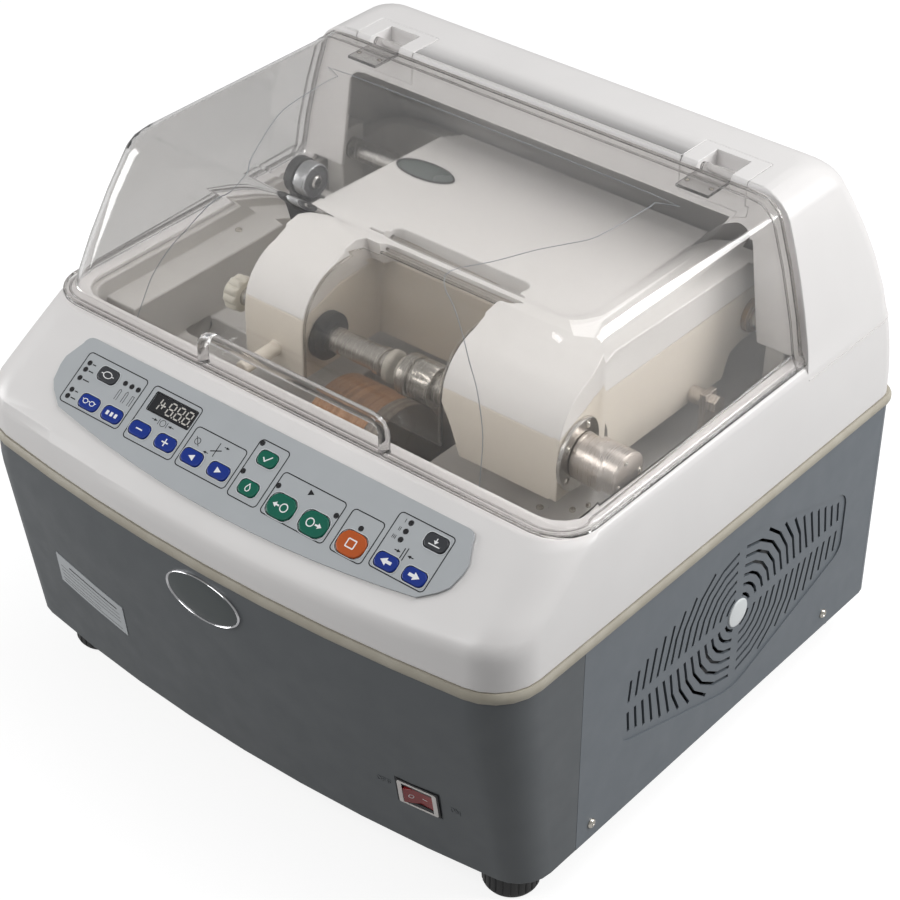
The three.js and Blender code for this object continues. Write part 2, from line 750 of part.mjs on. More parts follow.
// The drain trough has a closed floor, and its outlet lies under the carriage arm.
function drainOutline(extra) {
  return roundedRectangle(
    drain_x, drain_y, drain_length + 2 * extra, drain_width + 2 * extra, drain_width / 2 - 1 + extra, 5,
  );
}
const lugs = [-1, 1].map((side) => block(
  side * (shaft_half - lug_width / 2) - lug_width / 2, side * (shaft_half - lug_width / 2) + lug_width / 2,
  shaft_y - lug_depth / 2, shaft_y + lug_depth / 2, tub_floor_z - tub_wall, lug_top_z,
));
const tub = join([
  prism('z', tubOutline(0), tub_floor_z - tub_wall, tub_top_z),
  prism('z', tubOutline(-tub_rim), tub_top_z - tub_wall, tub_top_z),
]).subtract(prism('z', tubOutline(tub_wall), tub_floor_z, tub_top_z + overrun))
  .add(block(
    well_left_x - tub_wall, well_right_x + tub_wall, well_front_y - tub_wall, well_rear_y + tub_wall,
    well_floor_z - tub_wall, tub_floor_z - overrun / 2,
  ))
  .add(block(
    -tub_half + overrun, -tub_half + tub_wall + ledge_width, tub_front_y + tub_corner, ledge_rear_y,
    tub_floor_z - overrun, tub_floor_z + ledge_height,
  ))
  .add(rod(
    'x', spindle_boss_radius, well_left_x - tub_wall - spindle_boss_length, well_left_x,
    [0, wheel_y, wheel_z],
  ))
  .add(join(lugs))
  .add(prism('z', drainOutline(tub_wall), drain_floor_z - tub_wall, tub_floor_z - overrun / 2))
  .subtract(block(well_left_x, well_right_x, well_front_y, well_rear_y, well_floor_z, tub_floor_z + overrun))
  .subtract(rod(
    'x', spindle_radius + gap, well_left_x - tub_wall - spindle_boss_length - overrun, well_left_x + overrun,
    [0, wheel_y, wheel_z],
  ))
  .subtract(rod('x', shaft_radius + gap, -beyond, beyond, [0, shaft_y, shaft_z]))
  .subtract(prism('z', drainOutline(0), drain_floor_z, tub_floor_z + overrun));
add('chamber_tub', tub, material(chamber_grey, 0.5));

// Wheels, spindle and drive below the chamber
const rough_left_x = -42;
const rough_right_x = 12;
const finish_right_x = 26;
const pulley_left_x = -140;
const pulley_right_x = -120;
const wheel_pulley_radius = 15;
const spindle_nut_width = 12;
const spindle_nut_x = finish_right_x + spindle_nut_width;
const drive_set_back = 133;
const drive_y = wheel_y + drive_set_back;
const drive_height_up = 88;
const drive_z = casing_bottom_z + drive_height_up;
const drive_radius = 48;
const drive_left_x = -104;
const drive_right_x = 56;
const drive_shaft_radius = 7;
const drive_pulley_radius = 24;
const belt_thickness = 2.5;
const belt_inset = 5;
const flange_height = 4;
const motor_foot_half = 34;

function wheelBody(from, to) {
  const profile = [
    [spindle_radius + gap, from], [wheel_radius, from], [wheel_radius, to], [spindle_radius + gap, to],
    [spindle_radius + gap, from],
  ];
  return turned('x', profile, [0, 0, 0], 2 * circle_sides);
}

const wheel_set = new THREE.Group();
wheel_set.position.set(0, wheel_y, wheel_z);
machine.add(wheel_set);
add('rough_wheel', wheelBody(rough_left_x, rough_right_x), material(0xb08058, 0.6, 0.5), wheel_set);
add('finish_wheel', wheelBody(rough_right_x + gap, finish_right_x), material(0xb5b1ab, 0.6, 0.4), wheel_set);

// A flat-belt pulley with two low flanges, on the x axis, as profile points from left to right
function pulleyProfile(radius, from, to) {
  return [
    [radius + flange_height, from], [radius + flange_height, from + flange_height / 2],
    [radius, from + flange_height / 2], [radius, to - flange_height / 2],
    [radius + flange_height, to - flange_height / 2], [radius + flange_height, to],
  ];
}
const spindle_step = spindle_radius + 4;
const spindle_profile = [
  [0, pulley_left_x], ...pulleyProfile(wheel_pulley_radius, pulley_left_x, pulley_right_x),
  [spindle_radius, pulley_right_x], [spindle_radius, finish_right_x + gap],
  [spindle_step, finish_right_x + gap], [spindle_step, spindle_nut_x], [0, spindle_nut_x],
];
add('wheel_spindle', turned('x', spindle_profile, [0, 0, 0]), material(steel_grey, 0.35, 1), wheel_set);

const drive = new THREE.Group();
drive.position.set(0, drive_y, drive_z);
machine.add(drive);
const drive_body = join([
  rod('x', drive_radius, drive_left_x, drive_right_x, [0, 0, 0]),
  rod('x', drive_shaft_radius, pulley_left_x, drive_left_x + overrun, [0, 0, 0]),
  block(
    drive_left_x + drive_radius / 2, drive_right_x - drive_radius / 2, -motor_foot_half, motor_foot_half,
    plate_z + plate_thickness + gap - drive_z, -drive_radius / 2,
  ),
]);
add('drive_motor', drive_body, material(0x55585c, 0.5, 0.3), drive);
const drive_bore = drive_shaft_radius + gap;
const drive_pulley_profile = [
  [drive_bore, pulley_left_x + gap],
  ...pulleyProfile(drive_pulley_radius, pulley_left_x + gap, pulley_right_x),
  [drive_bore, pulley_right_x], [drive_bore, pulley_left_x + gap],
];
add('motor_pulley', turned('x', drive_pulley_profile, [0, 0, 0]), material(0xb9bbbd, 0.35, 1), drive);

// The belt: two straight runs and an arc round each pulley
function beltOutline(extra) {
  const run = new THREE.Vector2(drive_y - wheel_y, drive_z - wheel_z);
  const small = wheel_pulley_radius + gap + extra;
  const large = drive_pulley_radius + gap + extra;
  const along = Math.atan2(run.y, run.x);
  const open_angle = Math.acos((small - large) / run.length());
  const turn = 2 * Math.PI;
  return [
    ...arc(drive_y, drive_z, large, along - open_angle, along + open_angle, small_sides),
    ...arc(wheel_y, wheel_z, small, along + open_angle, along - open_angle + turn, small_sides),
  ];
}
const belt_left_x = pulley_left_x + belt_inset - flange_height / 2;
const belt_right_x = pulley_right_x - belt_inset + flange_height / 2;
const belt = prism('x', beltOutline(belt_thickness), belt_left_x, belt_right_x)
  .subtract(prism('x', beltOutline(0), belt_left_x - overrun, belt_right_x + overrun));
add('drive_belt', belt, material(black_rubber, 0.8));

// Carriage: tilts about its shaft, slides along it, and holds the lens over the wheels
const carriage_left_room = 106;
const carriage_left_x = carriage_left_room + lug_width - shaft_half;
const carriage_right_room = 23;
const carriage_right_x = shaft_half - lug_width - carriage_right_room;
const bay_left_x = -51;
const bay_right_x = 88;
const bay_depth = 66;
const bay_rear_y = wheel_y + bay_depth;
const carriage_nose = 26;
const carriage_front_y = wheel_y - carriage_nose;
const carriage_bottom_drop = 42;
const carriage_bottom_z = shaft_z - carriage_bottom_drop;
const arm_set_back = 20;
const arm_y = wheel_y + arm_set_back;
const arm_z = shaft_z;
const arm_radius = carriage_front_y * -1 + arm_y;
const seam_rear_rise = 26;
const seam_rear_z = shaft_z + seam_rear_rise;
const seam_front_rise = 12;
const seam_front_z = shaft_z + seam_front_rise;
const cover_crease_back = 39;
const cover_front_y = wheel_y + cover_crease_back;
const cover_front_rise = 57;
const cover_front_z = shaft_z + cover_front_rise;
const cover_rear_rise = 51;
const cover_rear_z = shaft_z + cover_rear_rise;
const cover_step_reach = 8;
const cover_step_y = shaft_y - cover_step_reach;
const cover_end_reach = 20;
const cover_end_y = shaft_y + cover_end_reach;
const ridge_count = 3;
const body_heel_reach = 36;
const body_heel_y = shaft_y - body_heel_reach;
const body_rear_reach = 13;
const body_rear_y = shaft_y - body_rear_reach;
const body_rear_drop = 19;
const body_rear_z = shaft_z - body_rear_drop;
const body_wall = 5;
const ridge_height = 3;
const crease_angle = 0.56 * Math.PI;
const slot_left_x = -38;
const slot_right_x = 96;
const slot_front_back = 45;
const slot_front_y = wheel_y + slot_front_back;
const slot_rear_back = 72;
const slot_rear_y = wheel_y + slot_rear_back;
const cover_wall = 3;
const chuck_y = wheel_y;
const chuck_drop = 11;
const chuck_z = shaft_z - chuck_drop;
const lens_shaft_radius = 8;
const quill_radius = 11.7;
const sleeve_radius = 14;
const carriage_lug_radius = 22;
const peg_share = 0.541;
const peg_x = carriage_left_x + peg_share * (bay_left_x - carriage_left_x);
const peg_drop = 23;
const peg_z = shaft_z - peg_drop;
const peg_radius = 6;
const peg_length = 40;

const carriage = new THREE.Group();
carriage.position.set(0, shaft_y, shaft_z);
machine.add(carriage);
const in_carriage = [0, -shaft_y, -shaft_z];

function carried(name, manifold, look) {
  return add(name, manifold.translate(in_carriage), look, carriage);
}

const seam_on_arm = Math.asin((seam_front_z + gap / 2 - arm_z) / arm_radius);
const seam_arm_y = arm_y - arm_radius * Math.cos(seam_on_arm);
const body_outline = [
  [carriage_front_y, carriage_bottom_z], [body_heel_y, carriage_bottom_z],
  [body_heel_y + 9, body_rear_z - 4], [body_rear_y, body_rear_z],
  ...arc(shaft_y, shaft_z, carriage_lug_radius, -Math.PI / 3, 0, 3),
  [shaft_y + carriage_lug_radius, seam_rear_z - gap / 2], [arm_y, seam_rear_z - gap / 2],
  [seam_arm_y, seam_front_z - gap / 2], [carriage_front_y, arm_z],
];
const bay = block(bay_left_x, bay_right_x, -beyond, bay_rear_y, -beyond, beyond);
const body_hollow = block(
  carriage_left_x + body_wall, carriage_right_x - body_wall, bay_rear_y + body_wall,
  shaft_y - carriage_lug_radius - body_wall, carriage_bottom_z + body_wall, seam_rear_z + overrun,
);
const cheek_taper = 18;
const cheek_rise = 23;
const cheek = prism('y', [
  [bay_right_x - overrun, carriage_bottom_z - overrun],
  [bay_right_x + cheek_taper, carriage_bottom_z - overrun],
  [bay_right_x + cheek_taper / 2, carriage_bottom_z + cheek_rise],
  [bay_right_x - overrun, carriage_bottom_z + 2 * cheek_rise],
], -beyond, bay_rear_y);
const carriage_body = prism('x', body_outline, carriage_left_x, carriage_right_x)
  .subtract(bay)
  .subtract(body_hollow)
  .subtract(cheek)
  .subtract(rod('x', lens_shaft_radius + gap, carriage_left_x - overrun, bay_left_x + overrun,
    [0, chuck_y, chuck_z]))
  .subtract(rod('x', quill_radius + gap, bay_right_x - overrun, carriage_right_x + overrun,
    [0, chuck_y, chuck_z]))
  .subtract(rod('x', sleeve_radius + gap, carriage_left_x - overrun, carriage_right_x + overrun,
    [0, shaft_y, shaft_z]))
  .add(rod('y', peg_radius, carriage_front_y - peg_length, carriage_front_y + overrun, [peg_x, 0, peg_z],
    small_sides));
carried('carriage_body', carriage_body, material(body_cream, 0.45));

// The cover's side outline: a round front over the arms, a crease, a long flat top and a stepped rear
const cover_outline = [
  [arm_y, seam_rear_z + gap / 2], [cover_end_y, seam_rear_z + gap / 2],
  [cover_end_y, cover_rear_z - ridge_count * ridge_height],
  ...Array.from({ length: ridge_count }, (_, i) => {
    const back = ridge_count - 1 - i;
    const y = cover_step_y + ((cover_end_y - cover_step_y) * back) / ridge_count;
    return [[y, cover_rear_z - (back + 1) * ridge_height], [y, cover_rear_z - back * ridge_height]];
  }).flat(),
  [cover_front_y, cover_front_z],
  ...arc(arm_y, arm_z, arm_radius, crease_angle, Math.PI - seam_on_arm, 6),
];
const cover_inner_outline = [
  [seam_arm_y + cover_wall + 1, seam_front_z - 2 * overrun], [arm_y, seam_rear_z - overrun],
  [cover_end_y - cover_wall, seam_rear_z - overrun],
  [cover_end_y - cover_wall, cover_rear_z - ridge_count * ridge_height - cover_wall],
  [cover_step_y - cover_wall, cover_rear_z - cover_wall], [cover_front_y, cover_front_z - cover_wall],
  ...arc(arm_y, arm_z, arm_radius - cover_wall, crease_angle, Math.PI - seam_on_arm, 6),
];
const recess_corner = 8;
const cover_slot = prism('z', roundedRectangle(
  (slot_left_x + slot_right_x) / 2, (slot_front_y + slot_rear_y) / 2, slot_right_x - slot_left_x,
  slot_rear_y - slot_front_y, recess_corner, 4,
), carriage_bottom_z, cover_front_z + overrun);
const guard_pivot_back = 63;
const guard_pivot_y = wheel_y + guard_pivot_back;
const guard_pivot_rise = 46;
const guard_pivot_z = shaft_z + guard_pivot_rise;
const guard_rod_radius = 2.5;
const guard_left_x = bay_left_x + gap;
const guard_right_x = bay_right_x - gap;
const guard_rod_left_x = slot_left_x - cover_wall;
const guard_rod_right_x = slot_right_x + cover_wall;
const guard_thickness = 2;
const guard_radius = arm_radius - 0.8;
const guard_pivot = [0, guard_pivot_y, guard_pivot_z];
const guard_bore = rod(
  'x', guard_rod_radius + gap, guard_rod_left_x - gap, guard_rod_right_x + gap, guard_pivot, small_sides,
);
function coverHollow(from, to, front, rear) {
  return prism('x', cover_inner_outline, from, to).intersect(block(from, to, front, rear, -beyond, beyond));
}
const hollow_left_x = carriage_left_x + cover_wall;
const hollow_right_x = carriage_right_x - cover_wall;
const hollow_split_y = slot_rear_y + cover_wall;
const carriage_cover = prism('x', cover_outline, carriage_left_x, carriage_right_x)
  .subtract(coverHollow(hollow_left_x, bay_left_x - cover_wall, -beyond, hollow_split_y))
  .subtract(coverHollow(slot_right_x + 2 * cover_wall, hollow_right_x, -beyond, hollow_split_y))
  .subtract(coverHollow(hollow_left_x, hollow_right_x, hollow_split_y, beyond))
  .subtract(block(bay_left_x, bay_right_x, -beyond, slot_front_y + recess_corner, -beyond, beyond))
  .subtract(cover_slot)
  .subtract(guard_bore)
  .subtract(rod('x', sleeve_radius + gap, -beyond, beyond, [0, shaft_y, shaft_z]));
carried('carriage_cover', carriage_cover, material(shell_white, 0.35));

// The clear splash guard over the lens, hung on a rod in the cover's slot
const guard_outer = guard_radius;
const guard_inner = guard_radius - guard_thickness;
const guard_tail_z = arm_z + guard_outer;
const guard_outline = [
  [arm_y - guard_outer, carriage_bottom_z], ...arc(arm_y, arm_z, guard_outer, Math.PI, Math.PI / 2, 8),
  [guard_pivot_y, guard_tail_z], [guard_pivot_y, guard_tail_z - guard_thickness],
  ...arc(arm_y, arm_z, guard_inner, Math.PI / 2, Math.PI, 8), [arm_y - guard_inner, carriage_bottom_z],
];
const guard_bar = 3;
const guard_group = new THREE.Group();
guard_group.position.set(0, guard_pivot_y - shaft_y, guard_pivot_z - shaft_z);
carriage.add(guard_group);
const guard_tail = block(
  -beyond, guard_left_x + guard_bar + slot_left_x - bay_left_x, slot_front_y - gap, beyond, -beyond, beyond,
);
const lens_guard = prism('x', guard_outline, guard_left_x, guard_right_x)
  .subtract(guard_tail)
  .add(rod('x', guard_rod_radius, guard_rod_left_x, guard_rod_right_x, guard_pivot, small_sides))
  .add(block(slot_left_x + guard_bar, guard_right_x, slot_front_y + guard_bar, slot_front_y + 2 * guard_bar,
    guard_tail_z - guard_thickness, guard_tail_z + guard_bar));
add('lens_guard', lens_guard.translate([0, -guard_pivot_y, -guard_pivot_z]),
  material(0xe8eef2, 0.08, 0, 0.3), guard_group);

// Sleeve and shaft that the carriage turns and slides on
const sleeve_overhang = 4;
const sleeve_profile = [
  [shaft_radius + gap, carriage_left_x - sleeve_overhang], [sleeve_radius, carriage_left_x - sleeve_overhang],
  [sleeve_radius, carriage_right_x + sleeve_overhang],
  [shaft_radius + gap, carriage_right_x + sleeve_overhang],
  [shaft_radius + gap, carriage_left_x - sleeve_overhang],
];
const shaft_place = [0, shaft_y, shaft_z];
const shaft_group = new THREE.Group();
shaft_group.position.set(...shaft_place);
machine.add(shaft_group);
add('carriage_sleeve', turned('x', sleeve_profile, [0, 0, 0]), material(0xb08a4a, 0.4, 0.8), shaft_group);
add('carriage_shaft', rod('x', shaft_radius, -shaft_half, shaft_half, [0, 0, 0]),
  material(steel_grey, 0.25, 1), shaft_group);

// Lens chuck: left shaft with its knob and collar, right cup on a sliding quill, and the press motor
const knob_reach = 37;
const knob_left_x = carriage_left_x - knob_reach;
const knob_width = 14;
const knob_right_x = knob_left_x + knob_width;
const knob_radius = 15;
const collar_right_x = -43;
const collar_radius = 19.5;
const stem_radius = 10;
const stem_right_x = 18;
const ring_radius = 13;
const ring_right_x = 24;
const lens_gap = 6;
const cup_pad_length = 4;
const cup_hub_radius = 17;
const cup_hub_right_x = 66;
const cup_axle_radius = 5;
const cup_axle_margin = 75;
const cup_axle_right_x = carriage_right_x - cup_axle_margin;
const quill_margin = 45;
const quill_right_x = carriage_right_x - quill_margin;
const press_flange_radius = 29;
const press_flange_thickness = 4;
const press_can_radius = 18.5;
const can_clearance = 5;
const press_can_right_x = tub_half - can_clearance;
const chuck = new THREE.Group();
chuck.position.set(0, chuck_y - shaft_y, chuck_z - shaft_z);
carriage.add(chuck);
const left_profile = [
  [0, knob_left_x], [knob_radius, knob_left_x],
  [knob_radius, knob_right_x], [lens_shaft_radius, knob_right_x],
  [lens_shaft_radius, bay_left_x + 2 * gap], [collar_radius, bay_left_x + 2 * gap],
  [collar_radius, collar_right_x], [stem_radius, collar_right_x], [stem_radius, stem_right_x],
  [ring_radius, stem_right_x], [ring_radius, ring_right_x], [0, ring_right_x],
];
add('lens_shaft_left', turned('x', left_profile, [0, 0, 0]), material(steel_grey, 0.3, 1), chuck);
const cup_left_x = ring_right_x + lens_gap;
const cup_profile = [
  [0, cup_left_x], [ring_radius, cup_left_x], [ring_radius, cup_left_x + cup_pad_length],
  [cup_hub_radius, cup_left_x + cup_pad_length], [cup_hub_radius, cup_hub_right_x],
  [cup_axle_radius, cup_hub_right_x], [cup_axle_radius, cup_axle_right_x], [0, cup_axle_right_x],
];
add('lens_cup', turned('x', cup_profile, [0, 0, 0]), material(0xc9c6bf, 0.3, 0.9), chuck);
const quill_left_x = cup_hub_right_x + gap;
const quill_profile = [
  [cup_axle_radius + gap, quill_left_x], [quill_radius, quill_left_x], [quill_radius, quill_right_x],
  [0, quill_right_x], [0, cup_axle_right_x + gap], [cup_axle_radius + gap, cup_axle_right_x + gap],
  [cup_axle_radius + gap, quill_left_x],
];
add('chuck_quill', turned('x', quill_profile, [0, 0, 0]), material(steel_grey, 0.3, 1), chuck);
const flange_left_x = carriage_right_x + gap;
add('chuck_flange', rod('x', press_flange_radius, flange_left_x, flange_left_x + press_flange_thickness,
  [0, 0, 0], 2 * circle_sides), material(0x8d8984, 0.35, 1), chuck);
const can_left_x = flange_left_x + press_flange_thickness + gap;
add('chuck_motor', rod('x', press_can_radius, can_left_x, press_can_right_x, [0, 0, 0], 2 * circle_sides),
  material(0xb0a99f, 0.35, 1), chuck);

// Roller bracket on the left of the carriage, and its guide roller
const bracket_reach = 30;
const bracket_left_x = carriage_left_x - bracket_reach;
const bracket_ear = 8;
const roller_set_back = 69;
const roller_y = wheel_y + roller_set_back;
const roller_rise = 66;
const roller_z = shaft_z + roller_rise;
const roller_radius = 15;
const roller_left_x = bracket_left_x + bracket_ear + 1;
const roller_width = 12;
const roller_pin_radius = 4;
const bracket_rise = 15;
const bracket_bottom_z = shaft_z + bracket_rise;
const bracket_half = 10;
const bracket_shelf_z = roller_z - roller_radius - 2;
const roller_bracket = join([
  block(bracket_left_x, carriage_left_x - gap, roller_y - bracket_half, roller_y + bracket_half,
    bracket_bottom_z, bracket_shelf_z),
  block(bracket_left_x, bracket_left_x + bracket_ear, roller_y - bracket_half, roller_y + bracket_half,
    bracket_bottom_z, roller_z),
  rod('x', roller_radius + 1, bracket_left_x, bracket_left_x + bracket_ear, [0, roller_y, roller_z]),
  rod('x', roller_pin_radius, bracket_left_x, roller_left_x + roller_width + 2, [0, roller_y, roller_z],
    small_sides),
]);
carried('roller_bracket', roller_bracket, material(black_rubber, 0.5));
const roller_profile = [
  [roller_pin_radius + gap, roller_left_x], [roller_radius, roller_left_x],
  [roller_radius, roller_left_x + roller_width], [roller_pin_radius + gap, roller_left_x + roller_width],
  [roller_pin_radius + gap, roller_left_x],
];
carried('guide_roller', turned('x', roller_profile, [0, roller_y, roller_z]), material(0x3c3c3e, 0.4));

// Lift lever: hangs from a stud on the right of the carriage, under a hexagon bolt head
const lever_reach_front = 77;
const lever_y = shaft_y - lever_reach_front;
const lever_drop = 34;
const lever_z = shaft_z - lever_drop;
const lever_stud_radius = 7;
const lever_stand_off = 12;
const lever_plate_left_x = carriage_right_x + lever_stand_off;
const lever_thickness = 6;
const lever_plate_right_x = lever_plate_left_x + lever_thickness;
const lever_bolt_height = 8;
const lever_bolt_right_x = lever_plate_right_x + lever_bolt_height;
const lever_half = 7.5;
const lever_reach = 27;
const lift_lever = join([
  rod('x', lever_stud_radius, carriage_right_x + gap, lever_plate_left_x + 1, [0, lever_y, lever_z]),
  block(lever_plate_left_x, lever_plate_right_x, lever_y - lever_half, lever_y + lever_half,
    lever_z - lever_reach, lever_z + lever_half + 1),
  rod('x', lever_half, lever_plate_right_x - 1, lever_bolt_right_x, [0, lever_y, lever_z], 6),
]);
carried('lift_lever', lift_lever, material(0xa7a098, 0.35, 1));

// Clear lid: a five-sided hood on a flange, with a bail handle at the front
const lid_wall = 3;
const lid_side_gap = 5;
const lid_mouth_lap = 8;
const lid_front_y = mouth_front_y - lid_mouth_lap;
const lid_lean = 0.345;
const lid_low_z = deck_z + gap;
const lid_top_z = hood_top_z - 4;
const lid_rear_y = hood_front_y - 0.6;
const lid_corner_radius = 26;
const lid_edge_radius = 14;
const flange_side_lap = 16;
const flange_half = mouth_half + flange_side_lap;
const flange_front_lap = 21;
const flange_front_y = mouth_front_y - flange_front_lap;
const flange_corner_radius = 34;
const bail_half = 91;
const bail_section = 4.5;
const bail_rise = 25;
const bail_corner = 11;
const bail_y = flange_front_y + bail_section + 1;

function lidRing(z, inset, rear) {
  const rounding = edgeInset(z, lid_top_z - inset, lid_edge_radius - inset);
  return ring(planOutline({
    half: sideHalf(z) - lid_side_gap - rounding - inset,
    front: lid_front_y + lid_lean * (z - lid_low_z) + rounding + inset,
    bow: 0,
    frontRadius: lid_corner_radius - inset,
    rear,
    rearRadius: 0,
  }), z);
}

function lidLevels(bottom, top, radius) {
  const bend = top - radius;
  return [
    ...[0, 0.35, 0.7].map((share) => bottom + (bend - bottom) * share),
    ...[0, 0.38, 0.7, 0.92, 1].map((share) => bend + radius * share),
  ];
}
const flange_outline = planOutline({
  half: flange_half, front: flange_front_y, bow: 0, frontRadius: flange_corner_radius,
  rear: lid_rear_y, rearRadius: 0,
});

// A round bar through points on a path that stays at one y
function bar(path, y, radius, sides) {
  const tangentAt = (i) => {
    const [x0, z0] = path[Math.max(0, i - 1)];
    const [x1, z1] = path[Math.min(path.length - 1, i + 1)];
    return new THREE.Vector2(x1 - x0, z1 - z0).normalize();
  };
  return loft(path.map(([x, z], i) => {
    const along = tangentAt(i);
    return Array.from({ length: sides }, (_, k) => {
      const angle = (2 * Math.PI * k) / sides;
      const out = radius * Math.cos(angle);
      return new THREE.Vector3(x - along.y * out, y - radius * Math.sin(angle), z + along.x * out);
    });
  }));
}
const bail_z = lid_low_z + lid_wall + bail_rise;
const bail_path = [
  [-bail_half, lid_low_z + 1],
  ...arc(-bail_half + bail_corner, bail_z - bail_corner, bail_corner, Math.PI, Math.PI / 2, 4),
  ...arc(bail_half - bail_corner, bail_z - bail_corner, bail_corner, Math.PI / 2, 0, 4),
  [bail_half, lid_low_z + 1],
];
const lid_solid = loft(lidLevels(lid_low_z, lid_top_z, lid_edge_radius).map((z) => lidRing(z, 0, lid_rear_y)))
  .add(prism('z', flange_outline, lid_low_z, lid_low_z + lid_wall))
  .subtract(loft(lidLevels(lid_low_z - overrun, lid_top_z - lid_wall, lid_edge_radius - lid_wall)
    .map((z) => lidRing(z, lid_wall, lid_rear_y + overrun))))
  .add(bar(bail_path, bail_y, bail_section, 10));
const lid_group = new THREE.Group();
lid_group.position.set(0, hinge_y, hinge_z);
machine.add(lid_group);
add('lid', lid_solid.translate([0, -hinge_y, -hinge_z]), material(0xe8eef2, 0.06, 0, 0.3), lid_group);

const leaf_reach = 36;
const leaf_thickness = 2.6;
const leaf_half = notch_width / 2 - 2 * gap;
const leaf_top_z = lid_top_z - lid_wall - gap;
const pin_half = leaf_half + hinge_ear;
const leaf = join([
  block(-leaf_half, leaf_half, hinge_y - leaf_reach, hinge_y, leaf_top_z - leaf_thickness, leaf_top_z),
  rod('x', hinge_knuckle_radius, -leaf_half, leaf_half, [0, hinge_y, hinge_z]),
  rod('x', hinge_pin_radius, -pin_half, pin_half, [0, hinge_y, hinge_z], small_sides),
]).translate([0, -hinge_y, -hinge_z]);
for (const side of [-1, 1]) {
  const mesh = add(side < 0 ? 'hinge_leaf_left' : 'hinge_leaf_right', leaf, material(0xdfe5e8, 0.1, 0, 0.5),
    lid_group);
  mesh.position.x = side * hinge_x;
}

// Control panel on the sloping deck. Its own x runs to the right and its own y up the slope.
const panel_set_forward = 18.4;
const panel_v0_y = deck_top_y - panel_set_forward;
const panel_thickness = 2;
const panel_top_v = 11;
const panel_half_top = 196;
const panel_corner = 8;
const panel_bottom_v = -65.5;
const panel_side_points = [[203, -12], [203, -20], [200, -33], [194, -40], [181, -50]];
const key_clearance = 0.4;
const key_rest = 0.6;
const key_height = 2.5;
const key_round = 0.8;
const panel = new THREE.Group();
panel.position.set(0, panel_v0_y, deck_top_z + Math.tan(deck_angle) * (panel_v0_y - deck_top_y));
panel.rotation.x = deck_angle;
machine.add(panel);

const panel_right = [
  ...Array.from({ length: 5 }, (_, i) => {
    const across = (i + 1) / 6;
    const from_v = panel_side_points[4][1];
    return [panel_side_points[4][0] * across, panel_bottom_v + (from_v - panel_bottom_v) * across ** 2];
  }),
  ...[...panel_side_points].reverse(),
  ...arc(panel_half_top - panel_corner, panel_top_v - panel_corner, panel_corner, 0, Math.PI / 2, 4),
];
const panel_outline = [
  [0, panel_bottom_v], ...panel_right, ...panel_right.map(([x, v]) => [-x, v]).reverse(),
];
const display_place = [-86.25, -11.95];
const display_size = [42.5, 15];

// Name, place across, place up the slope, width, height and colour of each key
const small_key = [20, 12];
const green_small_key = [18, 12];
const large_key = [25, 19];
const keys = [
  ['lens_key', -156.6, -10.9, small_key, dark_key],
  ['frame_key', -157, -36.5, small_key, blue_key],
  ['mode_key', -132, -36.5, small_key, blue_key],
  ['minus_key', -102, -36.5, small_key, blue_key],
  ['plus_key', -74.6, -36.5, small_key, blue_key],
  ['left_key', -46.7, -36.6, small_key, blue_key],
  ['right_key', -19.2, -36.6, small_key, blue_key],
  ['test_key', 12, -11.7, green_small_key, green_key],
  ['valve_key', 11.8, -37.4, green_small_key, green_key],
  ['start_left_key', 45.3, -38.2, large_key, green_key],
  ['start_right_key', 77.2, -38.2, large_key, green_key],
  ['stop_key', 113.2, -38.2, large_key, orange_key],
  ['press_key', 171.8, -9.3, small_key, dark_key],
  ['chuck_open_key', 145.6, -37.7, small_key, blue_key],
  ['chuck_close_key', 171.7, -37.7, small_key, blue_key],
];
function keyOutline([width, height], extra) {
  const corner = height / 2 - 1 + extra;
  return roundedRectangle(0, 0, width + 2 * extra, height + 2 * extra, corner, 3);
}
let panel_plate = prism('z', panel_outline, gap, gap + panel_thickness);
for (const [name, x, v, size, color] of keys) {
  const hole = prism('z', keyOutline(size, key_clearance), 0, 2 * panel_thickness);
  panel_plate = panel_plate.subtract(hole.translate([x, v, 0]));
  const levels = [[0, 0], [key_height - key_round, 0], [key_height, -key_round]];
  const cap = loft(levels.map(([z, extra]) => ring(keyOutline(size, extra), z)));
  const mesh = add(name, cap, material(color, 0.4), panel);
  mesh.position.set(x, v, gap + key_rest);
}
function displayBlock(extra, low, high) {
  const [x, v] = display_place;
  const [width, height] = display_size;
  return block(x - width / 2 - extra, x + width / 2 + extra, v - height / 2 - extra, v + height / 2 + extra,
    low, high);
}
panel_plate = panel_plate.subtract(displayBlock(gap, 0, 2 * panel_thickness));
add('control_panel', panel_plate, material(panel_grey, 0.45), panel);
add('display_window', displayBlock(0, gap, panel_thickness), material(0x17181b, 0.15), panel);

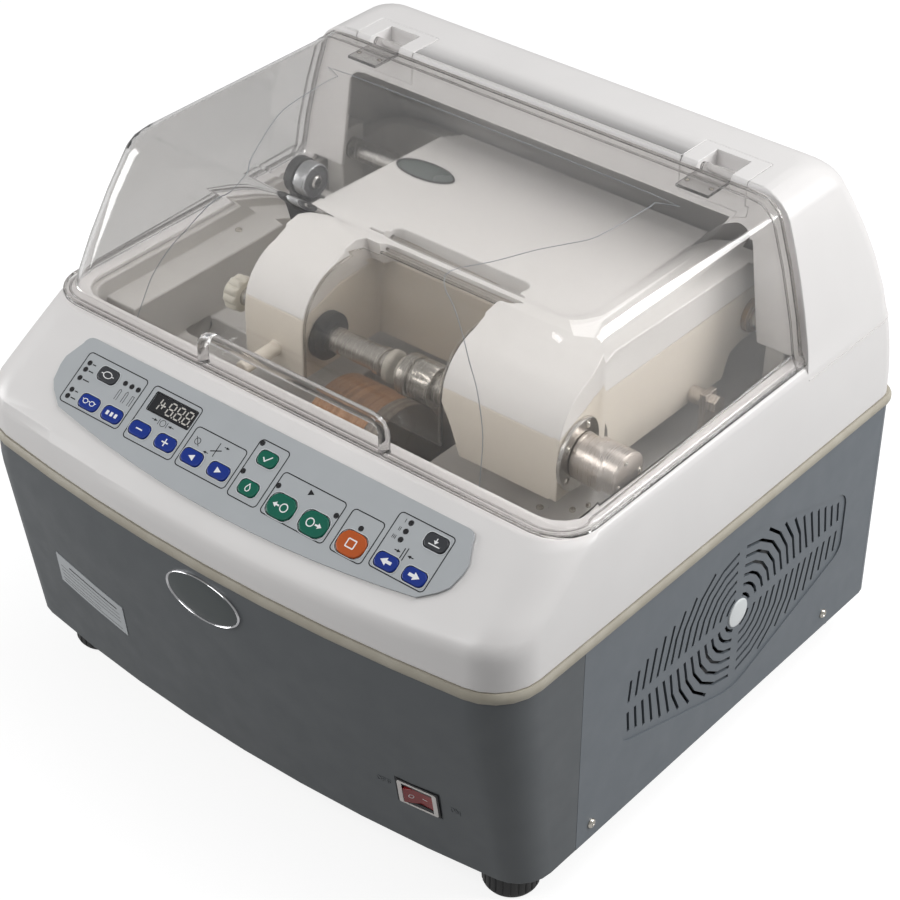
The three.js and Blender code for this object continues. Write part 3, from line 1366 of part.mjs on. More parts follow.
// Mains rocker switch in the fascia, turned to the leaning, bowed panel
const switch_body_depth = switch_depth - 2;
const switch_body_half_width = switch_width / 2 - switch_rim;
const switch_body_half_height = switch_height / 2 - switch_rim;
const switch_pocket_half = 14.3;
const switch_pocket_depth = 14;
const switch_wall = 2;
const rocker_half = 12.5;
const rocker_pivot = 7;
const rocker_tilt = THREE.MathUtils.degToRad(7);
const rocker_pin_radius = 1.5;
const switch_group = new THREE.Group();
switch_group.position.set(switch_x, switch_face_y, switch_z);
switch_group.rotation.set(switch_lean, 0, switch_turn, 'ZXY');
machine.add(switch_group);
const pocket_half_height = switch_body_half_height - switch_wall;
const pin_bore_half = switch_body_half_height + overrun;
const switch_pin = rod(
  'z', rocker_pin_radius + gap, -pin_bore_half, pin_bore_half, [0, rocker_pivot, 0], small_sides,
);
const switch_frame = join([
  block(-switch_width / 2, switch_width / 2, -overrun, -gap, -switch_height / 2, switch_height / 2),
  block(-switch_body_half_width, switch_body_half_width, -gap - 1, switch_body_depth,
    -switch_body_half_height, switch_body_half_height),
]).subtract(block(-switch_pocket_half, switch_pocket_half, -beyond, switch_pocket_depth,
  -pocket_half_height, pocket_half_height)).subtract(switch_pin);
add('switch_frame', switch_frame, material(0x1c1c1e, 0.4), switch_group);
const rocker_face = -3;
const rocker_dip = 2.4;
const rocker = prism('z', [
  [-rocker_half, rocker_face], [0, rocker_face + rocker_dip], [rocker_half, rocker_face],
  [rocker_half - 3, rocker_pivot + 3], [-rocker_half + 3, rocker_pivot + 3],
], -pocket_half_height + gap, pocket_half_height - gap)
  .add(rod('z', rocker_pin_radius, -switch_body_half_height + 0.5, switch_body_half_height - 0.5,
    [0, rocker_pivot, 0], small_sides))
  .translate([0, -rocker_pivot, 0]);
const rocker_mesh = add('switch_rocker', rocker, material(0xa51419, 0.3), switch_group);
rocker_mesh.position.y = rocker_pivot;
rocker_mesh.rotation.z = rocker_tilt;

// Cooling fan behind the right vent
const fan_size = 84;
const fan_depth = 22;
const fan_hole_radius = 38;
const fan_hub_radius = 16;
const fan_blades = 7;
const fan_blade_thickness = 2;
const fan_pin_radius = 3;
const fan_strut = 7;
const fan_right_x = half_width - wall - gap;
const fan_left_x = fan_right_x - fan_depth;
const fan_back = 5;
const fan = new THREE.Group();
fan.position.set(fan_left_x, vent_y, vent_z);
machine.add(fan);
const fan_half = fan_size / 2;
const fan_stand = block(0, fan_back, -fan_strut, fan_strut, plate_z + plate_thickness + gap - vent_z,
  -fan_half + 1);
const cooling_fan = join([
  block(0, fan_depth, -fan_half, fan_half, -fan_half, fan_half)
    .subtract(rod('x', fan_hole_radius, -overrun, fan_depth + overrun, [0, 0, 0], 2 * circle_sides)),
  rod('x', fan_hub_radius, 0, fan_back - 1, [0, 0, 0]),
  block(0, fan_back - 1, -fan_half + 1, fan_half - 1, -fan_strut / 2, fan_strut / 2),
  rod('x', fan_pin_radius, 0, fan_depth - fan_back, [0, 0, 0], small_sides),
  fan_stand,
]);
add('cooling_fan', cooling_fan, material(0x242426, 0.5), fan);
const blade = block(0, fan_blade_thickness, fan_hub_radius - 1, fan_hole_radius - 2, -fan_strut, fan_strut)
  .rotate([0, 35, 0]);
const rotor_parts = Array.from({ length: fan_blades }, (_, i) => (
  blade.translate([fan_depth / 2 - 1, 0, 0]).rotate([(360 * i) / fan_blades, 0, 0])
));
const rotor = join([rod('x', fan_hub_radius, fan_back, fan_depth - 3, [0, 0, 0]), ...rotor_parts])
  .subtract(rod('x', fan_pin_radius + gap, 0, fan_depth - fan_back + gap, [0, 0, 0], small_sides));
add('fan_rotor', rotor, material(0x2b2b2d, 0.5), fan);

// Control board and transformer on the base plate
const floor_z = plate_top_z + gap;
const board_width = 120;
const board_depth = 150;
const board_thickness = 1.6;
const standoff = 8;
const standoff_radius = 4;
const board_side_margin = 120;
const board_front_margin = 186;
const board = new THREE.Group();
board.position.set(half_width - board_side_margin, front_y + board_front_margin, floor_z);
machine.add(board);
// Place across and along the board, width, depth and height of each component
const board_components = [
  [-34, -45, 30, 34, 22], [16, -50, 26, 20, 12], [-30, 14, 22, 22, 16], [20, 10, 34, 28, 9],
  [0, 52, 70, 14, 12],
];
const board_parts = board_components.map(([x, y, width, depth, height]) => block(
  x - width / 2, x + width / 2, y - depth / 2, y + depth / 2, standoff, standoff + board_thickness + height,
));
const post_x = board_width / 2 - 2 * standoff_radius;
const post_y = board_depth / 2 - 2 * standoff_radius;
const posts = [[-1, -1], [1, -1], [1, 1], [-1, 1]].map(([sx, sy]) => rod(
  'z', standoff_radius, 0, standoff + board_thickness / 2, [sx * post_x, sy * post_y, 0], small_sides,
));
add('control_board', join([
  block(-board_width / 2, board_width / 2, -board_depth / 2, board_depth / 2, standoff,
    standoff + board_thickness),
  ...board_parts, ...posts,
]), material(0x1f5a3a, 0.5), board);
const core_width = 96;
const core_depth = 52;
const core_height = 80;
const coil_width = 50;
const coil_depth = 84;
const coil_height = 54;
const core_side_margin = 80;
const core_front_margin = 206;
const transformer = new THREE.Group();
transformer.position.set(core_side_margin - half_width, front_y + core_front_margin, floor_z);
machine.add(transformer);
add('transformer', join([
  block(-core_width / 2, core_width / 2, -core_depth / 2, core_depth / 2, 0, core_height),
  block(-coil_width / 2, coil_width / 2, -coil_depth / 2, coil_depth / 2,
    (core_height - coil_height) / 2, (core_height + coil_height) / 2),
]), material(0x5a5046, 0.6, 0.4), transformer);

export default machine;
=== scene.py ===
# %% [markdown]
# # A lens grinding machine
# This lesson dresses the CAD model of a benchtop lens edger: a grey casing on four feet, a white top
# shell with a sloping keypad, and a clear lid over the chamber where a carriage holds the lens on
# diamond wheels. The CAD model gives every size and joint. Blender adds the finishes, the rounded
# edges, the print on the keypad, the screws and the light.

# %% Load the frame
import json
import math

import bmesh
import bpy
from mathutils import Matrix, Vector
from mathutils.bvhtree import BVHTree


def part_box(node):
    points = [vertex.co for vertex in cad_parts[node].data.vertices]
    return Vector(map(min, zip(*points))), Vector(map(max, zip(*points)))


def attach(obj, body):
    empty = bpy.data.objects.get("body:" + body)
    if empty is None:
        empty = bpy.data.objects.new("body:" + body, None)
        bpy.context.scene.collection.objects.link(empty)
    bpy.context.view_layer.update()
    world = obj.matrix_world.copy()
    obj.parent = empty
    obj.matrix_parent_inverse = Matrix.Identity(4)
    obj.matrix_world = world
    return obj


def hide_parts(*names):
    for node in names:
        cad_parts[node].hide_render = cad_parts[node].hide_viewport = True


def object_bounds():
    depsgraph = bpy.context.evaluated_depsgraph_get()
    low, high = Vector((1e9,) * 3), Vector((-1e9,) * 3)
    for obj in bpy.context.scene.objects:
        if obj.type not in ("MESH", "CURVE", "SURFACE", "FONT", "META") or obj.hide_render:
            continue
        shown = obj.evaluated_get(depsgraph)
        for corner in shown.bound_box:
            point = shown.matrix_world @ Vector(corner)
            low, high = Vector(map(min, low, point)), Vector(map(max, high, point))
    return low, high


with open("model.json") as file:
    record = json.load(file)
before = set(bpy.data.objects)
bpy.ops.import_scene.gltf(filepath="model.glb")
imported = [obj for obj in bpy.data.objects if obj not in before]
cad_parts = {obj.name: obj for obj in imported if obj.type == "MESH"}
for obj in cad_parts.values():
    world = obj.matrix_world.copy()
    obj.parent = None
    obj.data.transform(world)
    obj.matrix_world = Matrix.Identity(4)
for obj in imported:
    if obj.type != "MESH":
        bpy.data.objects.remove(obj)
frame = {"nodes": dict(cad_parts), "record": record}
cad_low, cad_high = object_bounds()
cad_nodes = frame["nodes"]
scene = bpy.context.scene
MM = 0.001
X_AXIS = Vector((1, 0, 0))
Y_AXIS = Vector((0, 1, 0))
Z_AXIS = Vector((0, 0, 1))
print("CAD size in mm:", [round(side / MM, 1) for side in cad_high - cad_low])

# %% [markdown]
# The camera stands at the front right corner and looks down on the machine, as a catalogue
# photographer does. Its place and its focal length were solved from straight edges of the casing, so
# they are written as numbers. A matrix is used because it also holds the small roll of the picture.

# %% Camera
focal_pixels = 2401.58
picture_pixels = 900
film_width = 36
camera_azimuth = math.radians(39.39)
camera_elevation = math.radians(35.77)
camera_roll = math.radians(0.43)
camera_place = Vector((1.0207, -1.2230, 1.3538))

camera_back = Vector((
    math.sin(camera_azimuth) * math.cos(camera_elevation),
    -math.cos(camera_azimuth) * math.cos(camera_elevation),
    math.sin(camera_elevation),
))
level_right = Z_AXIS.cross(camera_back).normalized()
level_up = camera_back.cross(level_right)
camera_right = math.cos(camera_roll) * level_right + math.sin(camera_roll) * level_up
camera_up = math.cos(camera_roll) * level_up - math.sin(camera_roll) * level_right
camera_data = bpy.data.cameras.new("catalogue_camera")
camera_data.lens = focal_pixels * film_width / picture_pixels
camera_data.sensor_width = film_width
camera = bpy.data.objects.new("catalogue_camera", camera_data)
camera.matrix_world = Matrix.Translation(camera_place) @ Matrix(
    (camera_right, camera_up, camera_back)
).transposed().to_4x4()
scene.collection.objects.link(camera)
scene.camera = camera
print("lens in mm:", round(camera_data.lens, 1))

# %% [markdown]
# Two small helpers serve every material. The first turns a hex colour, as a screen shows it, into the
# linear numbers that Blender mixes. The second adds one node to a tree with its settings and links, so
# that a material reads as a short list of steps.

# %% Helpers for node trees
def linear(code, alpha=1.0):
    """The linear colour of an sRGB hex code such as '8F8776'."""
    channels = [int(code[i:i + 2], 16) / 255 for i in (0, 2, 4)]
    bent = [c / 12.92 if c <= 0.04045 else ((c + 0.055) / 1.055) ** 2.4 for c in channels]
    return (*bent, alpha)


def add_node(tree, kind, settings=None, inputs=None):
    """Adds a node. Settings are its properties, inputs are values or the sockets that feed it."""
    node = tree.nodes.new(kind)
    for name, value in (settings or {}).items():
        setattr(node, name, value)
    for name, value in (inputs or {}).items():
        if isinstance(value, bpy.types.NodeSocket):
            tree.links.new(value, node.inputs[name])
        else:
            node.inputs[name].default_value = value
    return node


def empty_material(name):
    """A material whose node tree holds nothing yet."""
    made = bpy.data.materials.new(name)
    made.use_nodes = True
    made.node_tree.nodes.clear()
    return made


# %% [markdown]
# The studio is a white tent: a pale world light from all round and four soft lamps, at the left, at the
# right, above the front and above. The camera, straight or through glass, sees the tent as plain white.
# Mirrored rays see it darker, as through a polarising filter, so that the lid doesn't hide the chamber.
# The paper on the floor glows a little too, but it keeps the soft shadow under the feet.

# %% Studio
tent_tint = "FFFFFF"
tent_light = 0.2
mirrored_tent = 0.4
floor_tint = "9C9C9C"
floor_glow = 0.8
mirrored_floor = 0.3
floor_half = 6.0
paper_grain = 2.5 * MM
paper_relief = 0.05 * MM

world = bpy.data.worlds.new("white_tent")
world.use_nodes = True
world.node_tree.nodes.clear()
tent = world.node_tree
rays = add_node(tent, "ShaderNodeLightPath")
tent_seen = add_node(tent, "ShaderNodeMath", {"operation": "MAXIMUM"},
                     {0: rays.outputs["Is Camera Ray"], 1: rays.outputs["Is Transmission Ray"]})
tent_unseen = add_node(tent, "ShaderNodeMapRange", {},
                       {"Value": rays.outputs["Is Glossy Ray"],
                        "To Min": tent_light, "To Max": mirrored_tent})
tent_level = add_node(tent, "ShaderNodeMapRange", {},
                      {"Value": tent_seen.outputs[0], "To Min": tent_unseen.outputs["Result"], "To Max": 1.0})
tent_shader = add_node(tent, "ShaderNodeBackground", {},
                       {"Color": linear(tent_tint), "Strength": tent_level.outputs["Result"]})
add_node(tent, "ShaderNodeOutputWorld", {}, {"Surface": tent_shader.outputs[0]})
scene.world = world
scene.view_settings.view_transform = "Standard"

# name: place, size in metres, power in watts
studio_lamps = {
    "left_softbox": (Vector((-2.3, -1.25, 0.75)), 1.2, 30),
    "right_softbox": (Vector((2.05, 1.45, 1.3)), 1.2, 50),
    "front_softbox": (Vector((-0.5, -1.9, 1.9)), 1.0, 16),
    "top_softbox": (Vector((0.6, 0.5, 2.2)), 1.6, 23),
}
lamp_target = (cad_low + cad_high) / 2
for name, (place, size, power) in studio_lamps.items():
    lamp_data = bpy.data.lights.new(name, "AREA")
    lamp_data.shape = "SQUARE"
    lamp_data.size = size
    lamp_data.energy = power
    lamp = bpy.data.objects.new(name, lamp_data)
    lamp.location = place
    lamp.rotation_euler = (lamp_target - place).to_track_quat("-Z", "Y").to_euler()
    scene.collection.objects.link(lamp)

floor_paint = empty_material("white_sweep_paper")
paper = floor_paint.node_tree
paper_place = add_node(paper, "ShaderNodeTexCoord")
paper_fibre = add_node(paper, "ShaderNodeTexNoise", {},
                       {"Vector": paper_place.outputs["Object"], "Scale": 1 / paper_grain})
paper_bump = add_node(paper, "ShaderNodeBump", {},
                      {"Height": paper_fibre.outputs[0], "Strength": 0.1, "Distance": paper_relief})
paper_diffuse = add_node(paper, "ShaderNodeBsdfDiffuse", {},
                         {"Color": linear(floor_tint), "Normal": paper_bump.outputs[0]})
paper_rays = add_node(paper, "ShaderNodeLightPath")
paper_seen = add_node(paper, "ShaderNodeMath", {"operation": "MAXIMUM"},
                      {0: paper_rays.outputs["Is Camera Ray"], 1: paper_rays.outputs["Is Transmission Ray"]})
paper_mirrored = add_node(paper, "ShaderNodeMath", {"operation": "MULTIPLY"},
                          {0: paper_rays.outputs["Is Glossy Ray"], 1: mirrored_floor})
paper_glow = add_node(paper, "ShaderNodeMapRange", {},
                      {"Value": paper_seen.outputs[0],
                       "To Min": paper_mirrored.outputs[0], "To Max": floor_glow})
paper_shine = add_node(paper, "ShaderNodeEmission", {},
                       {"Color": linear(tent_tint), "Strength": paper_glow.outputs["Result"]})
paper_sum = add_node(paper, "ShaderNodeAddShader", {},
                     {0: paper_diffuse.outputs[0], 1: paper_shine.outputs[0]})
add_node(paper, "ShaderNodeOutputMaterial", {}, {"Surface": paper_sum.outputs[0]})

floor_mesh = bpy.data.meshes.new("floor")
floor_mesh.from_pydata(
    [(-floor_half, -floor_half, 0), (floor_half, -floor_half, 0),
     (floor_half, floor_half, 0), (-floor_half, floor_half, 0)], [], [(0, 1, 2, 3)])
floor = bpy.data.objects.new("floor", floor_mesh)
floor_mesh.materials.append(floor_paint)
scene.collection.objects.link(floor)
print(len(studio_lamps), "lamps and one floor")

# %% [markdown]
# Most of the machine is injection moulded plastic. Its colour is even, its gloss drifts a little where
# the melt flowed and hands have wiped it, and the mould's texture breaks up the highlight. One recipe
# makes them all: a wide noise for the drift, a second for the gloss and a fine one for the grain.

# %% Moulded plastics
def moulded_plastic(name, colour, shade, gloss, grain, grain_depth, drift=70 * MM, ior=1.5):
    """Moulded plastic: its colour, a darker shade of it, its roughness, and grain size and depth."""
    made = empty_material(name)
    tree = made.node_tree
    place = add_node(tree, "ShaderNodeTexCoord").outputs["Object"]
    flow = add_node(tree, "ShaderNodeTexNoise", {}, {"Vector": place, "Scale": 1 / drift, "Detail": 2.0})
    tone = add_node(tree, "ShaderNodeMix", {"data_type": "RGBA"},
                    {0: flow.outputs[0], 6: linear(colour), 7: linear(shade)})
    wipe = add_node(tree, "ShaderNodeTexNoise", {}, {"Vector": place, "Scale": 3 / drift, "Detail": 3.0})
    rough = add_node(tree, "ShaderNodeMapRange", {},
                     {"Value": wipe.outputs[0], "From Min": 0.3, "From Max": 0.7,
                      "To Min": gloss * 0.9, "To Max": gloss * 1.12})
    texture = add_node(tree, "ShaderNodeTexNoise", {}, {"Vector": place, "Scale": 1 / grain, "Detail": 1.0})
    relief = add_node(tree, "ShaderNodeBump", {},
                      {"Height": texture.outputs[0], "Strength": 1.0, "Distance": grain_depth})
    skin = add_node(tree, "ShaderNodeBsdfPrincipled", {},
                    {"Base Color": tone.outputs[2], "Roughness": rough.outputs["Result"],
                     "IOR": ior, "Normal": relief.outputs[0]})
    add_node(tree, "ShaderNodeOutputMaterial", {}, {"Surface": skin.outputs[0]})
    return made


# White ABS from a mould with a fine spark texture, semi-gloss
white_abs = moulded_plastic("white_moulded_abs", "DEDCDB", "D6D4D3", 0.33, 1.4 * MM, 0.012 * MM)
white_cover_abs = moulded_plastic("cover_moulded_abs", "E0DEDC", "DAD8D5", 0.36, 1.4 * MM, 0.012 * MM)
# Grey ABS, moulded with a leather-fine texture that spreads its highlight
grey_abs = moulded_plastic("grey_textured_abs", "54585B", "505457", 0.46, 0.9 * MM, 0.02 * MM)
# The side and rear panels are sheet steel, powder coated in a slightly bluer grey
grey_powder_coat = moulded_plastic("grey_powder_coat", "656B71", "61676D", 0.44, 0.7 * MM, 0.025 * MM)
# Chamber parts: unpainted plastic that cooling water has dulled
chamber_abs = moulded_plastic("chamber_vacuum_formed_abs", "CBC9C6", "C0BEBA", 0.4, 2.0 * MM, 0.02 * MM)
cream_abs = moulded_plastic("cream_moulded_abs", "DDD6CA", "D5CDC0", 0.38, 1.6 * MM, 0.015 * MM)
# Glass-filled nylon: black, satin and slightly cloudy
black_nylon = moulded_plastic("black_filled_nylon", "1C1C1E", "242426", 0.5, 1.2 * MM, 0.02 * MM)
roller_nylon = moulded_plastic("dark_turned_nylon", "3A3A3D", "434346", 0.5, 1.2 * MM, 0.01 * MM)
print("moulded plastics made")

# %% [markdown]
# The keypad is a screen-printed polyester film over domed switches. Each key is a dome of the same
# film, coloured from behind, so it has the film's fine matt texture and a soft sheen.

# %% Keypad films
film_grain = 0.5 * MM
film_depth = 0.006 * MM


def keypad_film(name, colour, shade, gloss=0.4, ior=1.5):
    """Printed polyester film: even colour with a fine matt texture."""
    return moulded_plastic(name, colour, shade, gloss, film_grain, film_depth, 40 * MM, ior)


panel_film = keypad_film("grey_polyester_film", "A9ADB0", "A2A6A9", 0.42)
key_films = {
    "dark_key": keypad_film("charcoal_key_film", "36383C", "323438", 0.34, 1.36),
    "blue_key": keypad_film("blue_key_film", "0B2E86", "0A297B", 0.34, 1.36),
    "green_key": keypad_film("green_key_film", "005E4B", "005745", 0.34, 1.36),
    "orange_key": keypad_film("orange_key_film", "B4541F", "A94D1B", 0.34, 1.36),
}
display_film = keypad_film("smoked_display_window", "1F2022", "242528", 0.12)
black_ink = keypad_film("black_screen_ink", "161618", "131315", 0.5, 1.3)
white_ink = keypad_film("white_screen_ink", "E6E7E8", "DFE0E1", 0.5)
print(len(key_films), "key films and two inks made")

# %% [markdown]
# Rubber is soft and dark and scatters what it reflects. The sealing band is a khaki silicone that
# picks up dust, and the feet and the belt are black nitrile. A wide noise gives the dusty bloom and a
# fine one the pores. The IOR of rubber is a little above that of plastic.

# %% Rubbers
dust_patch = 18 * MM
pore_depth = 0.03 * MM


def moulded_rubber(name, colour, bloom, gloss, pore):
    """Rubber with a dusty bloom and fine pores."""
    made = empty_material(name)
    tree = made.node_tree
    place = add_node(tree, "ShaderNodeTexCoord").outputs["Object"]
    dust = add_node(tree, "ShaderNodeTexNoise", {}, {"Vector": place, "Scale": 1 / dust_patch, "Detail": 4.0})
    dust_share = add_node(tree, "ShaderNodeMapRange", {},
                          {"Value": dust.outputs[0], "From Min": 0.4, "From Max": 0.75})
    tone = add_node(tree, "ShaderNodeMix", {"data_type": "RGBA"},
                    {0: dust_share.outputs["Result"], 6: linear(colour), 7: linear(bloom)})
    pores = add_node(tree, "ShaderNodeTexNoise", {}, {"Vector": place, "Scale": 1 / pore, "Detail": 2.0})
    relief = add_node(tree, "ShaderNodeBump", {},
                      {"Height": pores.outputs[0], "Strength": 1.0, "Distance": pore_depth})
    skin = add_node(tree, "ShaderNodeBsdfPrincipled", {},
                    {"Base Color": tone.outputs[2], "Roughness": gloss, "IOR": 1.52,
                     "Normal": relief.outputs[0]})
    add_node(tree, "ShaderNodeOutputMaterial", {}, {"Surface": skin.outputs[0]})
    return made


khaki_silicone = moulded_rubber("khaki_silicone_rubber", "A29C8E", "ADA89B", 0.55, 0.8 * MM)
foot_rubber = moulded_rubber("black_nitrile_rubber", "161617", "232324", 0.5, 0.7 * MM)
belt_rubber = moulded_rubber("ribbed_belt_rubber", "1B1B1C", "29292A", 0.7, 0.9 * MM)
print("rubbers made")

# %% [markdown]
# The lid and the splash guard are clear acrylic. Light bends in the sheet, so the solid has two faces
# and the shader's transmission does the rest. A lamp's shadow ray isn't bent: for it alone the sheet
# is a plain see-through shader, a little grey, so that light reaches the chamber. Smears from wiping
# show in the gloss, and a formed sheet is never quite flat, so long shallow waves bend what it mirrors.

# %% Clear acrylic
smear_width = 45 * MM
wave_length = 30 * MM
wave_depth = 0.02 * MM


def clear_acrylic(name, tint, shadow_tint, gloss):
    """Polished acrylic sheet that lets lamps shine through."""
    made = empty_material(name)
    tree = made.node_tree
    place = add_node(tree, "ShaderNodeTexCoord").outputs["Object"]
    smears = add_node(tree, "ShaderNodeTexNoise", {},
                      {"Vector": place, "Scale": 1 / smear_width, "Detail": 3.0})
    rough = add_node(tree, "ShaderNodeMapRange", {},
                     {"Value": smears.outputs[0], "From Min": 0.35, "From Max": 0.75,
                      "To Min": gloss, "To Max": gloss * 2.5})
    waves = add_node(tree, "ShaderNodeTexNoise", {},
                     {"Vector": place, "Scale": 1 / wave_length, "Detail": 0.0})
    relief = add_node(tree, "ShaderNodeBump", {},
                      {"Height": waves.outputs[0], "Strength": 0.5, "Distance": wave_depth})
    glass = add_node(tree, "ShaderNodeBsdfPrincipled", {},
                     {"Base Color": linear(tint), "Roughness": rough.outputs["Result"], "IOR": 1.49,
                      "Transmission Weight": 1.0, "Normal": relief.outputs[0]})
    through = add_node(tree, "ShaderNodeBsdfTransparent", {}, {"Color": linear(shadow_tint)})
    lamp_rays = add_node(tree, "ShaderNodeLightPath")
    both = add_node(tree, "ShaderNodeMixShader", {},
                    {0: lamp_rays.outputs["Is Shadow Ray"], 1: glass.outputs[0], 2: through.outputs[0]})
    add_node(tree, "ShaderNodeOutputMaterial", {}, {"Surface": both.outputs[0]})
    return made


lid_acrylic = clear_acrylic("lid_clear_acrylic", "D6D5D4", "F3F2F2", 0.02)
guard_acrylic = clear_acrylic("guard_clear_acrylic", "F3F1EE", "EDECEA", 0.03)
print("acrylics made")

# %% [markdown]
# Turned and ground steel shows fine rings round its axis. Every shaft here lies along x, so the rings
# are a noise that is squeezed along x and drawn out across it. A ground shaft has finer rings and a
# glossier face than the brushed can of the motor. A metal keeps the default IOR.

# %% Turned metals
stain_width = 14 * MM


def turned_metal(name, colour, shade, gloss, ring_pitch, ring_depth, along=(1.0, 0.02, 0.02)):
    """Metal with tool rings round the x axis, or along another direction of the pattern."""
    made = empty_material(name)
    tree = made.node_tree
    place = add_node(tree, "ShaderNodeTexCoord").outputs["Object"]
    drawn_out = add_node(tree, "ShaderNodeMapping", {}, {"Vector": place, "Scale": along})
    rings = add_node(tree, "ShaderNodeTexNoise", {},
                     {"Vector": drawn_out.outputs[0], "Scale": 1 / ring_pitch, "Detail": 3.0})
    stain = add_node(tree, "ShaderNodeTexNoise", {},
                     {"Vector": place, "Scale": 1 / stain_width, "Detail": 3.0})
    tone = add_node(tree, "ShaderNodeMix", {"data_type": "RGBA"},
                    {0: stain.outputs[0], 6: linear(colour), 7: linear(shade)})
    rough = add_node(tree, "ShaderNodeMapRange", {},
                     {"Value": rings.outputs[0], "From Min": 0.3, "From Max": 0.7,
                      "To Min": gloss * 0.8, "To Max": gloss * 1.25})
    relief = add_node(tree, "ShaderNodeBump", {},
                      {"Height": rings.outputs[0], "Strength": 1.0, "Distance": ring_depth})
    skin = add_node(tree, "ShaderNodeBsdfPrincipled", {},
                    {"Base Color": tone.outputs[2], "Metallic": 1.0, "Roughness": rough.outputs["Result"],
                     "Normal": relief.outputs[0]})
    add_node(tree, "ShaderNodeOutputMaterial", {}, {"Surface": skin.outputs[0]})
    return made


ground_steel = turned_metal("ground_shaft_steel", "D2D0CC", "C2C0BC", 0.24, 0.5 * MM, 0.0012 * MM)
brushed_steel = turned_metal("brushed_can_steel", "D6CEC6", "C9C1BA", 0.3, 0.6 * MM, 0.003 * MM)
zinc_plate = turned_metal("zinc_plated_sheet", "9C9A96", "8B8985", 0.42, 3.0 * MM, 0.005 * MM,
                          (1.0, 0.15, 1.0))
sintered_bronze = turned_metal("sintered_bronze", "A5834B", "8F6F3C", 0.42, 0.7 * MM, 0.01 * MM)
turned_alloy = turned_metal("turned_pulley_alloy", "B9BBBD", "A9ABAD", 0.34, 0.6 * MM, 0.008 * MM)
print("metals made")

# %% [markdown]
# The wheels are diamond grit held in metal: copper bond for the rough wheel, a greyer bond for the
# finish wheel. Grinding leaves narrow rings and the grit gives a fine speckle, so the recipe mixes a
# cell pattern with rings along x. The grit is drawn coarser than life so that it shows. The bond is
# only partly metallic because wet slurry dulls it.

# %% Wheel bonds
grit_size = 0.9 * MM
grit_depth = 0.05 * MM
ring_width = 3.2 * MM


def grit_bond(name, bond, grit, dark, metal_share):
    """A bonded diamond wheel: bright grit in a darker metal bond, with grinding rings."""
    made = empty_material(name)
    tree = made.node_tree
    place = add_node(tree, "ShaderNodeTexCoord").outputs["Object"]
    grains = add_node(tree, "ShaderNodeTexVoronoi", {}, {"Vector": place, "Scale": 1 / grit_size})
    grain_share = add_node(tree, "ShaderNodeMapRange", {},
                           {"Value": grains.outputs["Distance"], "From Min": 0.1, "From Max": 0.6})
    speckle = add_node(tree, "ShaderNodeMix", {"data_type": "RGBA"},
                       {0: grain_share.outputs["Result"], 6: linear(grit), 7: linear(bond)})
    squeezed = add_node(tree, "ShaderNodeMapping", {}, {"Vector": place, "Scale": (1.0, 0.01, 0.01)})
    rings = add_node(tree, "ShaderNodeTexNoise", {},
                     {"Vector": squeezed.outputs[0], "Scale": 1 / ring_width, "Detail": 4.0})
    ring_share = add_node(tree, "ShaderNodeMapRange", {},
                          {"Value": rings.outputs[0], "From Min": 0.35, "From Max": 0.7, "To Max": 0.75})
    tone = add_node(tree, "ShaderNodeMix", {"data_type": "RGBA"},
                    {0: ring_share.outputs["Result"], 6: speckle.outputs[2], 7: linear(dark)})
    relief = add_node(tree, "ShaderNodeBump", {},
                      {"Height": grains.outputs["Distance"], "Strength": 1.0, "Distance": grit_depth})
    skin = add_node(tree, "ShaderNodeBsdfPrincipled", {},
                    {"Base Color": tone.outputs[2], "Metallic": metal_share, "Roughness": 0.48,
                     "Normal": relief.outputs[0]})
    add_node(tree, "ShaderNodeOutputMaterial", {}, {"Surface": skin.outputs[0]})
    return made


copper_bond = grit_bond("diamond_in_copper_bond", "D4A37C", "EBCDB0", "9C7350", 0.35)
grey_bond = grit_bond("diamond_in_grey_bond", "A8A098", "CDC6BC", "827B73", 0.45)
print("wheel bonds made")

# %% [markdown]
# A few finishes serve one piece each: the red rocker is translucent polycarbonate, the drive motor is
# enamelled, the board has a green solder mask, and the transformer is a stack of varnished sheets.

# %% Single finishes
rocker_cloud = 6 * MM
scatter_depth = 1.5 * MM
lamination_pitch = 12 * MM
lamination_depth = 0.1 * MM


def rocker_polycarbonate():
    """Red translucent polycarbonate: gloss, with some light scattered inside."""
    made = empty_material("red_polycarbonate")
    tree = made.node_tree
    place = add_node(tree, "ShaderNodeTexCoord").outputs["Object"]
    cloud = add_node(tree, "ShaderNodeTexNoise", {},
                     {"Vector": place, "Scale": 1 / rocker_cloud, "Detail": 2.0})
    tone = add_node(tree, "ShaderNodeMix", {"data_type": "RGBA"},
                    {0: cloud.outputs[0], 6: linear("8E0E13"), 7: linear("7C0B10")})
    skin = add_node(tree, "ShaderNodeBsdfPrincipled", {},
                    {"Base Color": tone.outputs[2], "Roughness": 0.16, "IOR": 1.58,
                     "Subsurface Weight": 0.15, "Subsurface Scale": scatter_depth})
    add_node(tree, "ShaderNodeOutputMaterial", {}, {"Surface": skin.outputs[0]})
    return made


